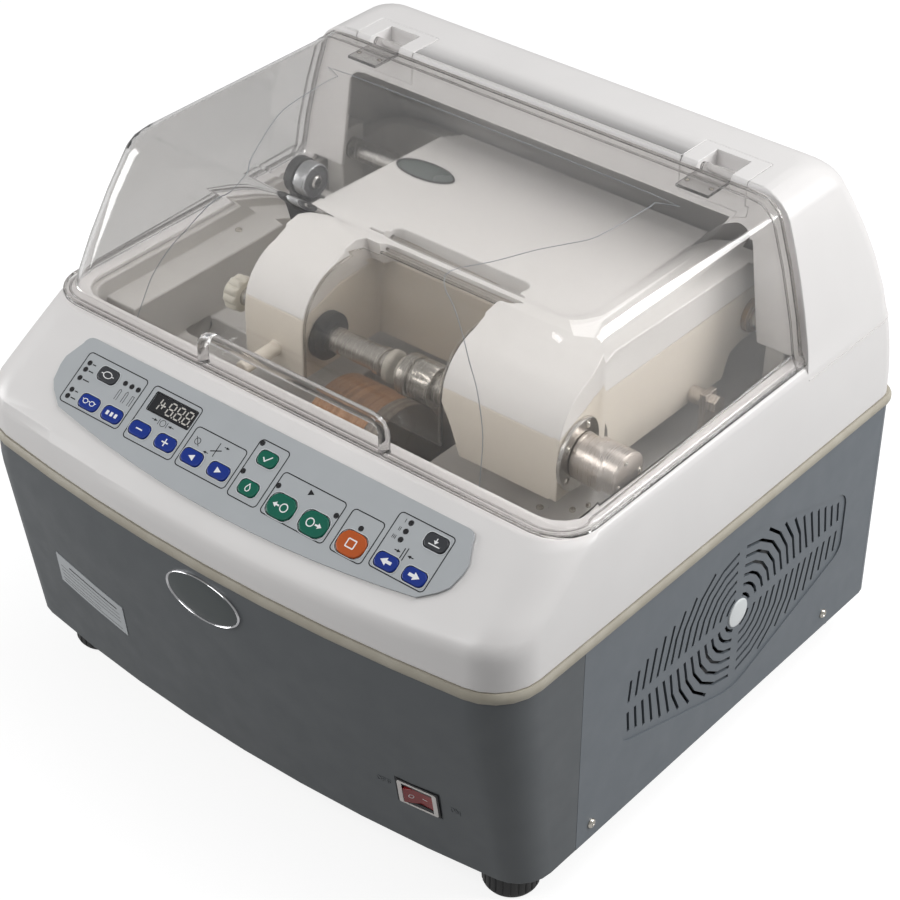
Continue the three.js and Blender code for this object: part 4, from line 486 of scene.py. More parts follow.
def varnished_laminations():
    """Thin iron sheets, stacked along y and dipped in brown varnish."""
    made = empty_material("varnished_laminations")
    tree = made.node_tree
    place = add_node(tree, "ShaderNodeTexCoord").outputs["Object"]
    sheets = add_node(tree, "ShaderNodeTexWave", {"wave_type": "BANDS", "bands_direction": "Y"},
                      {"Vector": place, "Scale": 1 / lamination_pitch, "Distortion": 0.3})
    tone = add_node(tree, "ShaderNodeMix", {"data_type": "RGBA"},
                    {0: sheets.outputs[1], 6: linear("4A3F34"), 7: linear("6A5B4C")})
    relief = add_node(tree, "ShaderNodeBump", {},
                      {"Height": sheets.outputs[1], "Strength": 1.0, "Distance": lamination_depth})
    skin = add_node(tree, "ShaderNodeBsdfPrincipled", {},
                    {"Base Color": tone.outputs[2], "Roughness": 0.35, "Coat Weight": 0.4,
                     "Normal": relief.outputs[0]})
    add_node(tree, "ShaderNodeOutputMaterial", {}, {"Surface": skin.outputs[0]})
    return made


rocker_red = rocker_polycarbonate()
laminations = varnished_laminations()
motor_enamel = moulded_plastic("grey_motor_enamel", "55585C", "4E5155", 0.32, 2.5 * MM, 0.03 * MM)
solder_mask = moulded_plastic("green_solder_mask", "1F5A3A", "1A4D32", 0.25, 1.5 * MM, 0.02 * MM)
print("single finishes made")

# %% [markdown]
# A CAD mesh is loose triangles with knife edges. A moulded part has small radii that catch the light.
# Each node is copied, its points are merged and its flat triangles joined, then a bevel modifier rounds
# what is sharp, and the normals are weighted so that flat faces stay flat. The copy rides on the same
# body and stands for the node.

# %% Dress a CAD node
weld = 0.001 * MM
flat_angle = math.radians(0.2)
crisp_angle = math.radians(38)
bevel_segments = 2
node_bodies = {node: body for body, nodes in frame["record"]["behaviour"]["bodies"].items() for node in nodes}
node_slots = {row["node"]: row["material_slot"] for row in frame["record"]["subparts"]}
slot_finishes = {
    "white_shell": white_abs, "white_cover": white_cover_abs, "grey_casing": grey_abs,
    "khaki_rubber": khaki_silicone, "panel_film": panel_film, "display_window": display_film, **key_films,
    "clear_lid": lid_acrylic, "clear_guard": guard_acrylic, "chamber_grey": chamber_abs,
    "cream_body": cream_abs, "satin_steel": brushed_steel, "bright_steel": ground_steel,
    "zinc_steel": zinc_plate, "bronze_sleeve": sintered_bronze, "copper_bond": copper_bond,
    "grey_bond": grey_bond, "dark_motor": motor_enamel, "pulley_alloy": turned_alloy,
    "belt_rubber": belt_rubber, "black_rubber": foot_rubber, "black_plastic": black_nylon,
    "dark_roller": roller_nylon, "red_rocker": rocker_red, "circuit_board": solder_mask,
    "iron_core": laminations,
}


def new_piece(name, mesh, body, slot, finish=None):
    """Links a mesh as a piece that rides on a body and takes a material slot's finish."""
    piece = bpy.data.objects.new(name, mesh)
    scene.collection.objects.link(piece)
    mesh.materials.clear()
    mesh.materials.append(finish or slot_finishes[slot])
    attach(piece, body)
    return piece


def dress(node, edge, finish=None):
    """A piece with softened edges that stands for a CAD node."""
    shape = bmesh.new()
    shape.from_mesh(cad_nodes[node].data)
    bmesh.ops.remove_doubles(shape, verts=shape.verts, dist=weld)
    bmesh.ops.join_triangles(
        shape, faces=shape.faces, angle_face_threshold=flat_angle, angle_shape_threshold=math.pi)
    for face in shape.faces:
        face.smooth = True
    for side in shape.edges:
        side.smooth = side.calc_face_angle(0) < crisp_angle
    mesh = bpy.data.meshes.new(f"{node}_dressed")
    shape.to_mesh(mesh)
    shape.free()
    piece = new_piece(f"{node}_dressed", mesh, node_bodies[node], node_slots[node], finish)
    if edge:
        rounding = piece.modifiers.new("moulded_radii", "BEVEL")
        rounding.width = edge
        rounding.segments = bevel_segments
        rounding.limit_method = "ANGLE"
        rounding.angle_limit = crisp_angle
        rounding.use_clamp_overlap = False
        rounding.harden_normals = False
        rounding.miter_outer = "MITER_ARC"
        evened = piece.modifiers.new("even_normals", "WEIGHTED_NORMAL")
        evened.keep_sharp = True
    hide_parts(node)
    return piece


# %% [markdown]
# Most edges get the usual small radius. The shell, the carriage and the tub have wider ones. The side
# panels, the base plate, the fan's frame and the sealing band have none. Turned nodes are left out,
# because later cells make them anew. The side and rear panels are powder coated steel.

# %% Dress every node
usual_edge = 0.4 * MM
edge_sizes = {
    "top_shell": 0.8 * MM, "carriage_cover": 0.8 * MM, "carriage_body": 1.0 * MM, "chamber_tub": 1.2 * MM,
    "lid": 0.5 * MM, "lens_guard": 0.3 * MM, "gasket_band": 0, "control_panel": 0.15 * MM,
    "fan_rotor": 0.2 * MM,
    "side_panel_right": 0, "side_panel_left": 0, "cooling_fan": 0, "base_plate": 0,
}
turned_nodes = {"lens_shaft_left", "lens_cup", "chuck_motor", "chuck_flange", "guide_roller"}
turned_nodes |= {node for node in cad_nodes if node.startswith("foot_")}
sheet_nodes = {"side_panel_right", "side_panel_left", "rear_panel"}
for node in cad_nodes:
    if node not in turned_nodes:
        dress(node, edge_sizes.get(node, usual_edge), grey_powder_coat if node in sheet_nodes else None)
print(len(cad_nodes) - len(turned_nodes), "nodes dressed")

# %% [markdown]
# The small things below are drawn straight onto the model: print, badges, screws and turned pieces.
# These helpers serve them all. One finishes a mesh: it merges doubles, turns the faces outward and
# marks what is smooth. One finds where a line of sight lands on a CAD node, so that nothing floats.

# %% Helpers for meshes
def finish_mesh(name, shape, smooth_angle=crisp_angle):
    """Turns a bmesh into a mesh with outward faces, smooth where it bends little."""
    bmesh.ops.remove_doubles(shape, verts=shape.verts, dist=weld)
    bmesh.ops.recalc_face_normals(shape, faces=shape.faces)
    for face in shape.faces:
        face.smooth = True
    for side in shape.edges:
        side.smooth = side.calc_face_angle(0) < smooth_angle
    mesh = bpy.data.meshes.new(name)
    shape.to_mesh(mesh)
    shape.free()
    return mesh


# how far from the origin a line of sight starts, in millimetres, so that it is clear of the machine
clear_round = 400
clear_top = 600
landing_trees = {}


def landing(node, start, direction):
    """Where a straight line first meets a CAD node, and the surface's outward direction there."""
    if node not in landing_trees:
        data = cad_nodes[node].data
        landing_trees[node] = BVHTree.FromPolygons(
            [point.co for point in data.vertices], [list(face.vertices) for face in data.polygons])
    place, normal, _, _ = landing_trees[node].ray_cast(Vector(start), Vector(direction))
    if normal.dot(Vector(direction)) > 0:
        normal = -normal
    return place, normal


def from_above(node, x, y):
    """Where a plumb line at x and y, in millimetres, first meets a CAD node."""
    return landing(node, Vector((x, y, clear_top)) * MM, -Z_AXIS)[0]


def from_front(node, x, z):
    """Where a level line from the front, at x and z in millimetres, first meets a CAD node."""
    return landing(node, Vector((x, -clear_round, z)) * MM, Y_AXIS)[0]


def bridge_rows(shape, rows, closed=True):
    """Joins rows of equally many points by quads. A closed row comes back to its first point."""
    for low_row, high_row in zip(rows, rows[1:]):
        count = len(low_row)
        for i in range(count if closed else count - 1):
            after = (i + 1) % count
            shape.faces.new((low_row[i], low_row[after], high_row[after], high_row[i]))


def add_turned(shape, profile, centre, steps=48, axis="x", lobes=0, lobe_depth=0.0, lobe_rows=()):
    """A turned solid from (radius, place along the axis) rows, closed at both ends on the axis.
    Lobes scallop the rows that are named, as on a fluted knob."""
    along, first, second = {"x": (X_AXIS, Y_AXIS, Z_AXIS), "z": (Z_AXIS, X_AXIS, Y_AXIS)}[axis]
    rows = []
    for index, (radius, reach) in enumerate(profile):
        row = []
        for i in range(steps):
            angle = math.tau * i / steps
            scallop = lobe_depth * (1 - abs(math.cos(angle * lobes / 2))) if index in lobe_rows else 0
            spoke = (radius - scallop) * (math.cos(angle) * first + math.sin(angle) * second)
            row.append(shape.verts.new(Vector(centre) + spoke + reach * along))
        rows.append(row)
    bridge_rows(shape, rows)
    shape.faces.new(reversed(rows[0]))
    shape.faces.new(rows[-1])


def turned_piece(name, profile, centre, body, slot, finish=None, **options):
    """A finished turned piece. Profile numbers are millimetres."""
    shape = bmesh.new()
    rows = [(radius * MM, reach * MM) for radius, reach in profile]
    add_turned(shape, rows, Vector(centre) * MM, **options)
    return new_piece(name, finish_mesh(name, shape), body, slot, finish)


print("mesh helpers ready")

# %% [markdown]
# What repeats or follows a path is made by Geometry Nodes. A tree gets named inputs, a holder mesh
# carries it once, and the result is kept as a plain mesh. The first helper makes an empty tree, the
# second runs one and hands back a finished piece.

# %% Helpers for Geometry Nodes
def new_tree(name, inputs):
    """A tree with a geometry socket at each end and named inputs, given as name: socket type."""
    tree = bpy.data.node_groups.new(name, "GeometryNodeTree")
    tree.interface.new_socket(name="Geometry", in_out="OUTPUT", socket_type="NodeSocketGeometry")
    tree.interface.new_socket(name="Geometry", in_out="INPUT", socket_type="NodeSocketGeometry")
    keys = {
        label: tree.interface.new_socket(name=label, in_out="INPUT", socket_type=kind).identifier
        for label, kind in inputs.items()
    }
    return tree, add_node(tree, "NodeGroupInput").outputs, keys


def end_tree(tree, geometry, finish):
    """Makes the instances real, gives them their material and closes the tree."""
    real = add_node(tree, "GeometryNodeRealizeInstances", {}, {"Geometry": geometry})
    painted = add_node(tree, "GeometryNodeSetMaterial", {},
                       {"Geometry": real.outputs[0], "Material": finish})
    add_node(tree, "NodeGroupOutput", {}, {"Geometry": painted.outputs[0]})


def grow(name, tree, keys, values, start, body, slot, finish=None):
    """Runs a tree on a start mesh with the given inputs, and makes the result a plain piece."""
    finish = finish or slot_finishes[slot]
    holder = bpy.data.objects.new(f"{name}_holder", start)
    scene.collection.objects.link(holder)
    modifier = holder.modifiers.new(name, "NODES")
    modifier.node_group = tree
    for label, value in {**values, "Finish": finish}.items():
        modifier[keys[label]] = value
    bpy.context.view_layer.update()
    grown = holder.evaluated_get(bpy.context.evaluated_depsgraph_get())
    mesh = bpy.data.meshes.new_from_object(grown)
    mesh.name = name
    holder.modifiers.remove(modifier)
    bpy.data.objects.remove(holder)
    return new_piece(name, mesh, body, slot, finish)


print("Geometry Nodes helpers ready")

# %% [markdown]
# Thin lines and beads follow a path over a surface: a row of points becomes a curve, and a small
# circle is swept along it. The tree takes the radius of that circle as an input.

# %% A tube along a path
tube_tree, tube_in, tube_keys = new_tree(
    "tube_on_path", {"Radius": "NodeSocketFloat", "Sides": "NodeSocketInt", "Finish": "NodeSocketMaterial"})
tube_path = add_node(tube_tree, "GeometryNodeMeshToCurve", {}, {"Mesh": tube_in["Geometry"]})
tube_circle = add_node(tube_tree, "GeometryNodeCurvePrimitiveCircle", {},
                       {"Resolution": tube_in["Sides"], "Radius": tube_in["Radius"]})
tube_skin = add_node(tube_tree, "GeometryNodeCurveToMesh", {},
                     {"Curve": tube_path.outputs[0], "Profile Curve": tube_circle.outputs[0],
                      "Fill Caps": True})
tube_smooth = add_node(tube_tree, "GeometryNodeSetShadeSmooth", {}, {"Geometry": tube_skin.outputs[0]})
end_tree(tube_tree, tube_smooth.outputs[0], tube_in["Finish"])


def path_mesh(name, points):
    """A chain of edges through points."""
    chain = bpy.data.meshes.new(name)
    chain.from_pydata([tuple(point) for point in points], [(i, i + 1) for i in range(len(points) - 1)], [])
    return chain


def eased(points, steps):
    """A smooth path through points: a Catmull-Rom curve with some steps between neighbours."""
    points = [Vector(point) for point in points]
    ends = [2 * points[0] - points[1], *points, 2 * points[-1] - points[-2]]
    path = [points[0]]
    for before, start, end, after in zip(ends, ends[1:], ends[2:], ends[3:]):
        for i in range(1, steps + 1):
            t = i / steps
            path.append(0.5 * (
                2 * start + (end - before) * t + (2 * before - 5 * start + 4 * end - after) * t ** 2
                + (3 * start - before - 3 * end + after) * t ** 3))
    return path


def tube(name, points, radius, body, slot, finish=None, sides=12):
    """A thin tube along a path. The radius is in millimetres."""
    return grow(name, tube_tree, tube_keys, {"Radius": radius * MM, "Sides": sides},
                path_mesh(name, points), body, slot, finish)


print("tube tree ready")

# %% [markdown]
# A screw is made once and set on many points. Each point stores the way that its surface faces, the
# tree turns the screw to face the same way, and a seeded random number turns it about its own axis, as
# hand-driven screws are. The head is turned, and a tapered cross is cut out of it.

# %% Screws
screw_tree, screw_in, screw_keys = new_tree("screws_on_points", {
    "Screw": "NodeSocketObject", "Size": "NodeSocketFloat", "Seed": "NodeSocketInt",
    "Finish": "NodeSocketMaterial"})
screw_shape = add_node(screw_tree, "GeometryNodeObjectInfo", {}, {"Object": screw_in["Screw"]})
facing = add_node(screw_tree, "GeometryNodeInputNamedAttribute", {"data_type": "FLOAT_VECTOR"},
                  {"Name": "facing"})
upright = add_node(screw_tree, "FunctionNodeAlignRotationToVector", {"axis": "Z"},
                   {"Vector": facing.outputs[0]})
random_turn = add_node(screw_tree, "FunctionNodeRandomValue", {"data_type": "FLOAT"},
                       {2: 0.0, 3: math.tau, "Seed": screw_in["Seed"]})
own_turn = add_node(screw_tree, "FunctionNodeAxisAngleToRotation", {},
                    {"Axis": (0, 0, 1), "Angle": random_turn.outputs[1]})
turned_screw = add_node(screw_tree, "FunctionNodeRotateRotation", {"rotation_space": "LOCAL"},
                        {"Rotation": upright.outputs[0], "Rotate By": own_turn.outputs[0]})
set_screws = add_node(screw_tree, "GeometryNodeInstanceOnPoints", {}, {
    "Points": screw_in["Geometry"], "Instance": screw_shape.outputs["Geometry"],
    "Rotation": turned_screw.outputs[0], "Scale": screw_in["Size"]})
end_tree(screw_tree, set_screws.outputs[0], screw_in["Finish"])


def hidden_object(name, mesh):
    """An object that only lends its mesh to a tree, and is removed again."""
    lent = bpy.data.objects.new(name, mesh)
    scene.collection.objects.link(lent)
    return lent


def cross_screw_mesh():
    """A pan head, 8 mm wide, with a cross recess."""
    head = bmesh.new()
    head_rows = [(4.0, -0.6), (4.0, 0.5), (3.8, 1.2), (3.2, 1.9), (2.2, 2.35), (0.9, 2.5)]
    add_turned(head, [(r * MM, z * MM) for r, z in head_rows], (0, 0, 0), steps=28, axis="z")
    cross = bmesh.new()
    for turn in (0, math.pi / 2):
        made = bmesh.ops.create_cube(cross, size=1.0)["verts"]
        for point in made:
            deep = point.co.z < 0
            length, width = (1.5, 0.7) if deep else (4.6, 1.1)
            point.co = Vector((point.co.x * length, point.co.y * width, 3.0 if point.co.z > 0 else 0.7)) * MM
        bmesh.ops.rotate(cross, verts=made, cent=(0, 0, 0), matrix=Matrix.Rotation(turn, 3, "Z"))
    head_object = hidden_object("screw_head", finish_mesh("screw_head", head))
    cross_object = hidden_object("screw_cross", finish_mesh("screw_cross", cross))
    cut = head_object.modifiers.new("recess", "BOOLEAN")
    cut.object = cross_object
    cut.operation = "DIFFERENCE"
    cut.use_self = True
    bpy.context.view_layer.update()
    mesh = bpy.data.meshes.new_from_object(
        head_object.evaluated_get(bpy.context.evaluated_depsgraph_get()))
    bpy.data.objects.remove(head_object)
    bpy.data.objects.remove(cross_object)
    return mesh


cross_screw = hidden_object("cross_screw", cross_screw_mesh())


def screws(name, rows, body, size, seed, finish):
    """Screws at (node, start, direction) rows, each where its line lands on that node.
    Size is a share of the 8 mm head."""
    landed = [landing(node, Vector(start) * MM, direction) for node, start, direction in rows]
    points = bpy.data.meshes.new(f"{name}_points")
    points.from_pydata([place for place, _ in landed], [], [])
    store = points.attributes.new("facing", "FLOAT_VECTOR", "POINT")
    for row, (_, normal) in zip(store.data, landed):
        row.vector = normal
    return grow(name, screw_tree, screw_keys,
                {"Screw": cross_screw, "Size": size, "Seed": seed}, points, body, "bright_steel", finish)


print(len(cross_screw.data.polygons), "faces in the head of a screw")

# %% [markdown]
# The levelling feet are black rubber pucks with a grip of flat ribs. The puck is turned, with a sole
# that pulls in, and Geometry Nodes set twenty-four ribs round each of the four feet.

# %% Feet
foot_nodes = [node for node in cad_nodes if node.startswith("foot_")]
foot_centres = []
foot_profile = [
    (19.0, 0), (20.2, 0.6), (21.9, 3.0), (22.2, 4.2), (22.2, 31.8), (21.2, 33.3), (19.8, 34.0),
    (6.0, 34.0), (6.0, 58.0)]
for node in foot_nodes:
    low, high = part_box(node)
    centre = (low + high) / 2
    foot_centres.append((centre.x, centre.y, 0))
    puck = turned_piece(f"{node}_puck", foot_profile, (centre.x / MM, centre.y / MM, 0), node_bodies[node],
                        "black_rubber", steps=72, axis="z")
    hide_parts(node)

rib_tree, rib_in, rib_keys = new_tree("ribs_round_points", {
    "Rib": "NodeSocketObject", "Count": "NodeSocketInt", "Radius": "NodeSocketFloat",
    "Finish": "NodeSocketMaterial"})
rib_shape = add_node(rib_tree, "GeometryNodeObjectInfo", {}, {"Object": rib_in["Rib"]})
rib_circle = add_node(rib_tree, "GeometryNodeMeshCircle", {},
                      {"Vertices": rib_in["Count"], "Radius": rib_in["Radius"]})
rib_index = add_node(rib_tree, "GeometryNodeInputIndex")
rib_share = add_node(rib_tree, "ShaderNodeMath", {"operation": "DIVIDE"},
                     {0: rib_index.outputs[0], 1: rib_in["Count"]})
rib_angle = add_node(rib_tree, "ShaderNodeMath", {"operation": "MULTIPLY"},
                     {0: rib_share.outputs[0], 1: math.tau})
rib_turn = add_node(rib_tree, "FunctionNodeAxisAngleToRotation", {},
                    {"Axis": (0, 0, 1), "Angle": rib_angle.outputs[0]})
rib_ring = add_node(rib_tree, "GeometryNodeInstanceOnPoints", {}, {
    "Points": rib_circle.outputs[0], "Instance": rib_shape.outputs["Geometry"],
    "Rotation": rib_turn.outputs[0]})
ribs_everywhere = add_node(rib_tree, "GeometryNodeInstanceOnPoints", {},
                           {"Points": rib_in["Geometry"], "Instance": rib_ring.outputs[0]})
end_tree(rib_tree, ribs_everywhere.outputs[0], rib_in["Finish"])

rib_section = [(-0.6, -2.5), (0.3, -2.45), (0.75, -1.9), (0.8, 0), (0.75, 1.9), (0.3, 2.45), (-0.6, 2.5)]
rib_levels = [(4.6, 0.4), (5.4, 1.0), (30.8, 1.0), (31.6, 0.4)]
rib_count = 24
rib_circle_radius = 22.1 * MM
rib = bmesh.new()
rib_rows = [
    [rib.verts.new(Vector((depth if depth < 0 else depth * swell, across, height)) * MM)
     for depth, across in rib_section]
    for height, swell in rib_levels]
bridge_rows(rib, rib_rows)
rib.faces.new(reversed(rib_rows[0]))
rib.faces.new(rib_rows[-1])
rib_object = hidden_object("foot_rib", finish_mesh("foot_rib", rib))
foot_points = bpy.data.meshes.new("foot_points")
foot_points.from_pydata(foot_centres, [], [])
foot_ribs = grow("foot_ribs", rib_tree, rib_keys,
                 {"Rib": rib_object, "Count": rib_count, "Radius": rib_circle_radius},
                 foot_points, "housing", "black_rubber")
bpy.data.objects.remove(rib_object)
print(len(foot_ribs.data.polygons), "faces in the ribs of", len(foot_nodes), "feet")

# %% [markdown]
# The left lens shaft carries a fluted plastic knob outside the carriage, a black collar in the bay,
# and a steel stem that ends in a soft ring against the lens. The CAD solid is one turned body. Here
# it is made of its real parts, each with its own finish and fine steps.

# %% Left lens shaft
chuck_centre = (0, -71, 334)
knob_cream = moulded_plastic("ivory_knob_abs", "C9C5B8", "BFBBAE", 0.36, 1.2 * MM, 0.015 * MM)
pad_silicone = moulded_plastic("milky_silicone", "CFCCC4", "C2BFB7", 0.3, 1.5 * MM, 0.01 * MM)
turned_piece(
    "shaft_knob", [(3.0, -149), (11.0, -149), (12.6, -148.6), (14.4, -147.4), (15.0, -145.8),
                   (15.0, -138.4), (14.4, -136.6), (12.8, -135.4), (11.5, -135.0)],
    chuck_centre, "left_lens_shaft", "cream_body", knob_cream,
    steps=120, lobes=10, lobe_depth=1.9 * MM, lobe_rows=(3, 4, 5, 6))
shaft_rod = turned_piece(
    "lens_shaft_rod", [(7.6, -135.2), (8.0, -134.8), (8.0, -50.6)], chuck_centre, "left_lens_shaft",
    "satin_steel", ground_steel)
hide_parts("lens_shaft_left")
turned_piece(
    "shaft_collar", [(8.0, -50.6), (18.9, -50.4), (19.5, -49.9), (19.5, -43.6), (19.0, -43.0),
                     (13.0, -43.0), (12.2, -42.6), (12.2, -40.0), (10.0, -39.6)],
    chuck_centre, "left_lens_shaft", "black_plastic")
turned_piece(
    "shaft_stem", [(10.0, -43.0), (10.0, -30.0), (9.3, -29.6), (9.3, -27.4), (10.0, -27.0), (10.0, 6.4),
                   (10.9, 6.8), (11.4, 7.4), (11.4, 12.2), (10.9, 12.8), (9.6, 13.2), (9.6, 18.2)],
    chuck_centre, "left_lens_shaft", "satin_steel", ground_steel)
turned_piece(
    "shaft_pad", [(9.6, 18.0), (12.4, 18.0), (13.0, 18.6), (13.0, 22.6), (12.2, 23.6), (11.0, 24.0),
                  (8.6, 24.0), (8.0, 23.4)],
    chuck_centre, "left_lens_shaft", "cream_body", pad_silicone)
print("left lens shaft made of five parts")

# %% [markdown]
# The right cup is a soft pad on a steel hub, whose second half is scalloped for the fingers. Its thin
# rod runs into the quill. The press motor is a turned can with a groove near its flange and a flat end.

# %% Right chuck and press motor
cup_pad = turned_piece(
    "cup_pad", [(8.0, 30.6), (8.6, 30.0), (11.4, 30.0), (12.4, 30.4), (13.0, 31.2), (13.0, 34.2)],
    chuck_centre, "right_lens_cup", "cream_body", pad_silicone)
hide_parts("lens_cup")
turned_piece(
    "cup_hub", [(15.4, 34.0), (16.4, 34.6), (17.0, 35.8), (17.0, 43.6), (16.0, 44.2), (14.6, 44.4),
                (14.6, 47.0), (16.0, 47.2), (17.0, 47.9), (17.0, 64.8), (16.2, 65.8), (15.2, 66.0),
                (5.0, 66.0), (5.0, 120.0)],
    chuck_centre, "right_lens_cup", "satin_steel", ground_steel,
    steps=96, lobes=12, lobe_depth=0.7 * MM, lobe_rows=(8, 9))
can_profile = [
    (17.2, 199.6), (18.0, 199.9), (18.5, 200.5), (18.5, 202.6), (18.2, 202.9), (18.2, 203.4),
    (18.5, 203.7), (18.5, 238.0), (18.3, 238.5), (17.9, 238.8), (17.3, 238.9), (17.0, 238.6),
    (16.7, 238.6), (16.4, 239.0), (6.0, 239.0)]
can = turned_piece("press_motor_can", can_profile, chuck_centre, "carriage", "satin_steel",
                   brushed_steel, steps=96)
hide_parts("chuck_motor")
press_flange = turned_piece(
    "press_flange", [(28.4, 195.3), (29.0, 195.7), (29.0, 198.6), (28.5, 199.2), (27.9, 199.3),
                     (6.0, 199.3)],
    chuck_centre, "carriage", "satin_steel", ground_steel, steps=96)
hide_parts("chuck_flange")
print("right chuck and press motor made")

# %% [markdown]
# The guide roller is a light alloy tyre on a dark nylon web, held by a capped pin. The web is dished,
# with a raised lip inside the tyre, so that the tyre shows as a narrow bright band.

# %% Guide roller
roller_centre = (0, -2, 411)
roller_tyre = turned_piece(
    "roller_tyre", [(13.0, -131.0), (13.9, -132.9), (14.8, -132.5), (15.0, -131.8), (15.0, -122.2),
                    (14.8, -121.5), (13.9, -121.1), (13.0, -123.0)],
    roller_centre, "roller", "dark_roller", turned_alloy, steps=64)
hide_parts("guide_roller")
turned_piece(
    "roller_web", [(4.6, -132.3), (6.6, -132.3), (7.2, -131.6), (12.4, -131.9), (13.2, -132.9),
                   (13.9, -133.0), (13.9, -121.0), (13.2, -121.1), (12.4, -122.1), (7.2, -122.4),
                   (6.6, -121.7), (4.6, -121.7)],
    roller_centre, "roller", "dark_roller", steps=64)
turned_piece(
    "roller_hub_cap", [(3.9, -122.0), (5.6, -121.2), (5.6, -120.2), (4.9, -119.5), (2.0, -119.0)],
    roller_centre, "carriage", "satin_steel", ground_steel, steps=32)
print("guide roller made")

# %% [markdown]
# The keypad slopes back by a little over a third of a right angle. Its print is drawn on that slope: u
# runs to the right, v up the slope, and a height stands square to it. Every line is a thin closed solid
# that is sunk into the film by a little and stands proud by the thickness of the ink.

# %% The keypad's own plane
deck_slope = math.radians(33.8)
up_slope = Vector((0, math.cos(deck_slope), math.sin(deck_slope)))
off_slope = Vector((0, -math.sin(deck_slope), math.cos(deck_slope)))
keypad_origin = Vector((0, -194.4, 320.7)) * MM


def top_along(node, direction):
    """How far a node reaches along a direction."""
    return max(point.co.dot(direction) for point in cad_nodes[node].data.vertices)


def key_level(node):
    """The height of a node's face above the keypad's origin, square to the slope."""
    return top_along(node, off_slope) - keypad_origin.dot(off_slope)


def on_slope(u, v, height):
    """The place of a point on the keypad, from millimetres along it and a height in metres."""
    return keypad_origin + (u * X_AXIS + v * up_slope) * MM + height * off_slope


def print_solid(shape, rows, low, high, closed, plane):
    """Thickens flat rows of (u, v) points. One row is filled, two rows bound a ring or a strip."""
    levels = [[[shape.verts.new(plane(u, v, height)) for u, v in row] for row in rows]
              for height in (low, high)]
    if len(rows) == 1:
        shape.faces.new(reversed(levels[0][0]))
        shape.faces.new(levels[1][0])
        bridge_rows(shape, [levels[0][0], levels[1][0]])
        return
    for below, above in zip(levels[0], levels[1]):
        bridge_rows(shape, [below, above], closed)
    for level in levels:
        bridge_rows(shape, level, closed)
    if not closed:
        for i in (0, -1):
            shape.faces.new((levels[0][0][i], levels[0][1][i], levels[1][1][i], levels[1][0][i]))


# keeps the mitre of a sharp corner short
mitre_limit = 0.35


def offset_row(points, width, closed):
    """Points moved sideways, with mitred corners."""
    moved = []
    for i, (u, v) in enumerate(points):
        before = points[i - 1] if closed or i else points[i]
        after = points[(i + 1) % len(points)] if closed or i < len(points) - 1 else points[i]
        into = Vector((u - before[0], v - before[1]))
        out = Vector((after[0] - u, after[1] - v))
        into = into.normalized() if into.length else out.normalized()
        out = out.normalized() if out.length else into
        side = Vector((-(into + out).y, (into + out).x)).normalized()
        reach = width / max(mitre_limit, side.dot(Vector((-into.y, into.x))))
        moved.append((u + side.x * reach, v + side.y * reach))
    return moved


ink_sunk = 0.1 * MM
ink_proud = 0.07 * MM


class Print:
    """Collects the marks of one colour on one level of the keypad, or of another surface."""

    def __init__(self, level, proud=ink_proud, plane=on_slope):
        self.shape = bmesh.new()
        self.low = level - ink_sunk
        self.high = level + proud
        self.plane = plane

    def fill(self, points):
        """A filled outline."""
        print_solid(self.shape, [points], self.low, self.high, True, self.plane)

    def line(self, points, width, closed=False):
        """A line of a given width through points."""
        self.between(offset_row(points, -width / 2, closed), offset_row(points, width / 2, closed), closed)

    def between(self, inner, outer, closed=True):
        """What lies between two rows of equally many points."""
        print_solid(self.shape, [inner, outer], self.low, self.high, closed, self.plane)

    def disc(self, u, v, radius):
        """A round dot."""
        self.fill(ellipse(u, v, radius, radius))

    def ring(self, u, v, radius, width, squash=1.0):
        """A round or oval line."""
        self.line(ellipse(u, v, radius, radius * squash), width, True)

    def piece(self, name, body, slot, finish):
        """The marks as one piece."""
        return new_piece(name, finish_mesh(name, self.shape, math.radians(20)), body, slot, finish)


def ellipse(u, v, half_u, half_v, steps=24):
    """Points of an ellipse, anticlockwise."""
    return [(u + half_u * math.cos(math.tau * i / steps), v + half_v * math.sin(math.tau * i / steps))
            for i in range(steps)]


def round_box(left, right, bottom, top, radius, steps=5):
    """Points of a rectangle with round corners, anticlockwise."""
    corners = [(right - radius, bottom + radius, -90), (right - radius, top - radius, 0),
               (left + radius, top - radius, 90), (left + radius, bottom + radius, 180)]
    return [
        (u + radius * math.cos(math.radians(start + 90 * i / steps)),
         v + radius * math.sin(math.radians(start + 90 * i / steps)))
        for u, v, start in corners for i in range(steps + 1)]


def box_about(u, v, half_u, half_v, radius):
    """Points of a rectangle with round corners, from its middle and half its sides."""
    return round_box(u - half_u, u + half_u, v - half_v, v + half_v, radius)


print("keypad plane ready")

# %% [markdown]
# Black rounded boxes group the keys, and dark dots are the small lamps, each a raised smoked lens in a
# black ring. Boxes and rings are one piece of black print, and the lenses are another, because a panel
# is printed one colour at a time.

# %% Boxes and lamps
film_level = key_level("control_panel")
box_line = 0.85
box_corner = 3.4
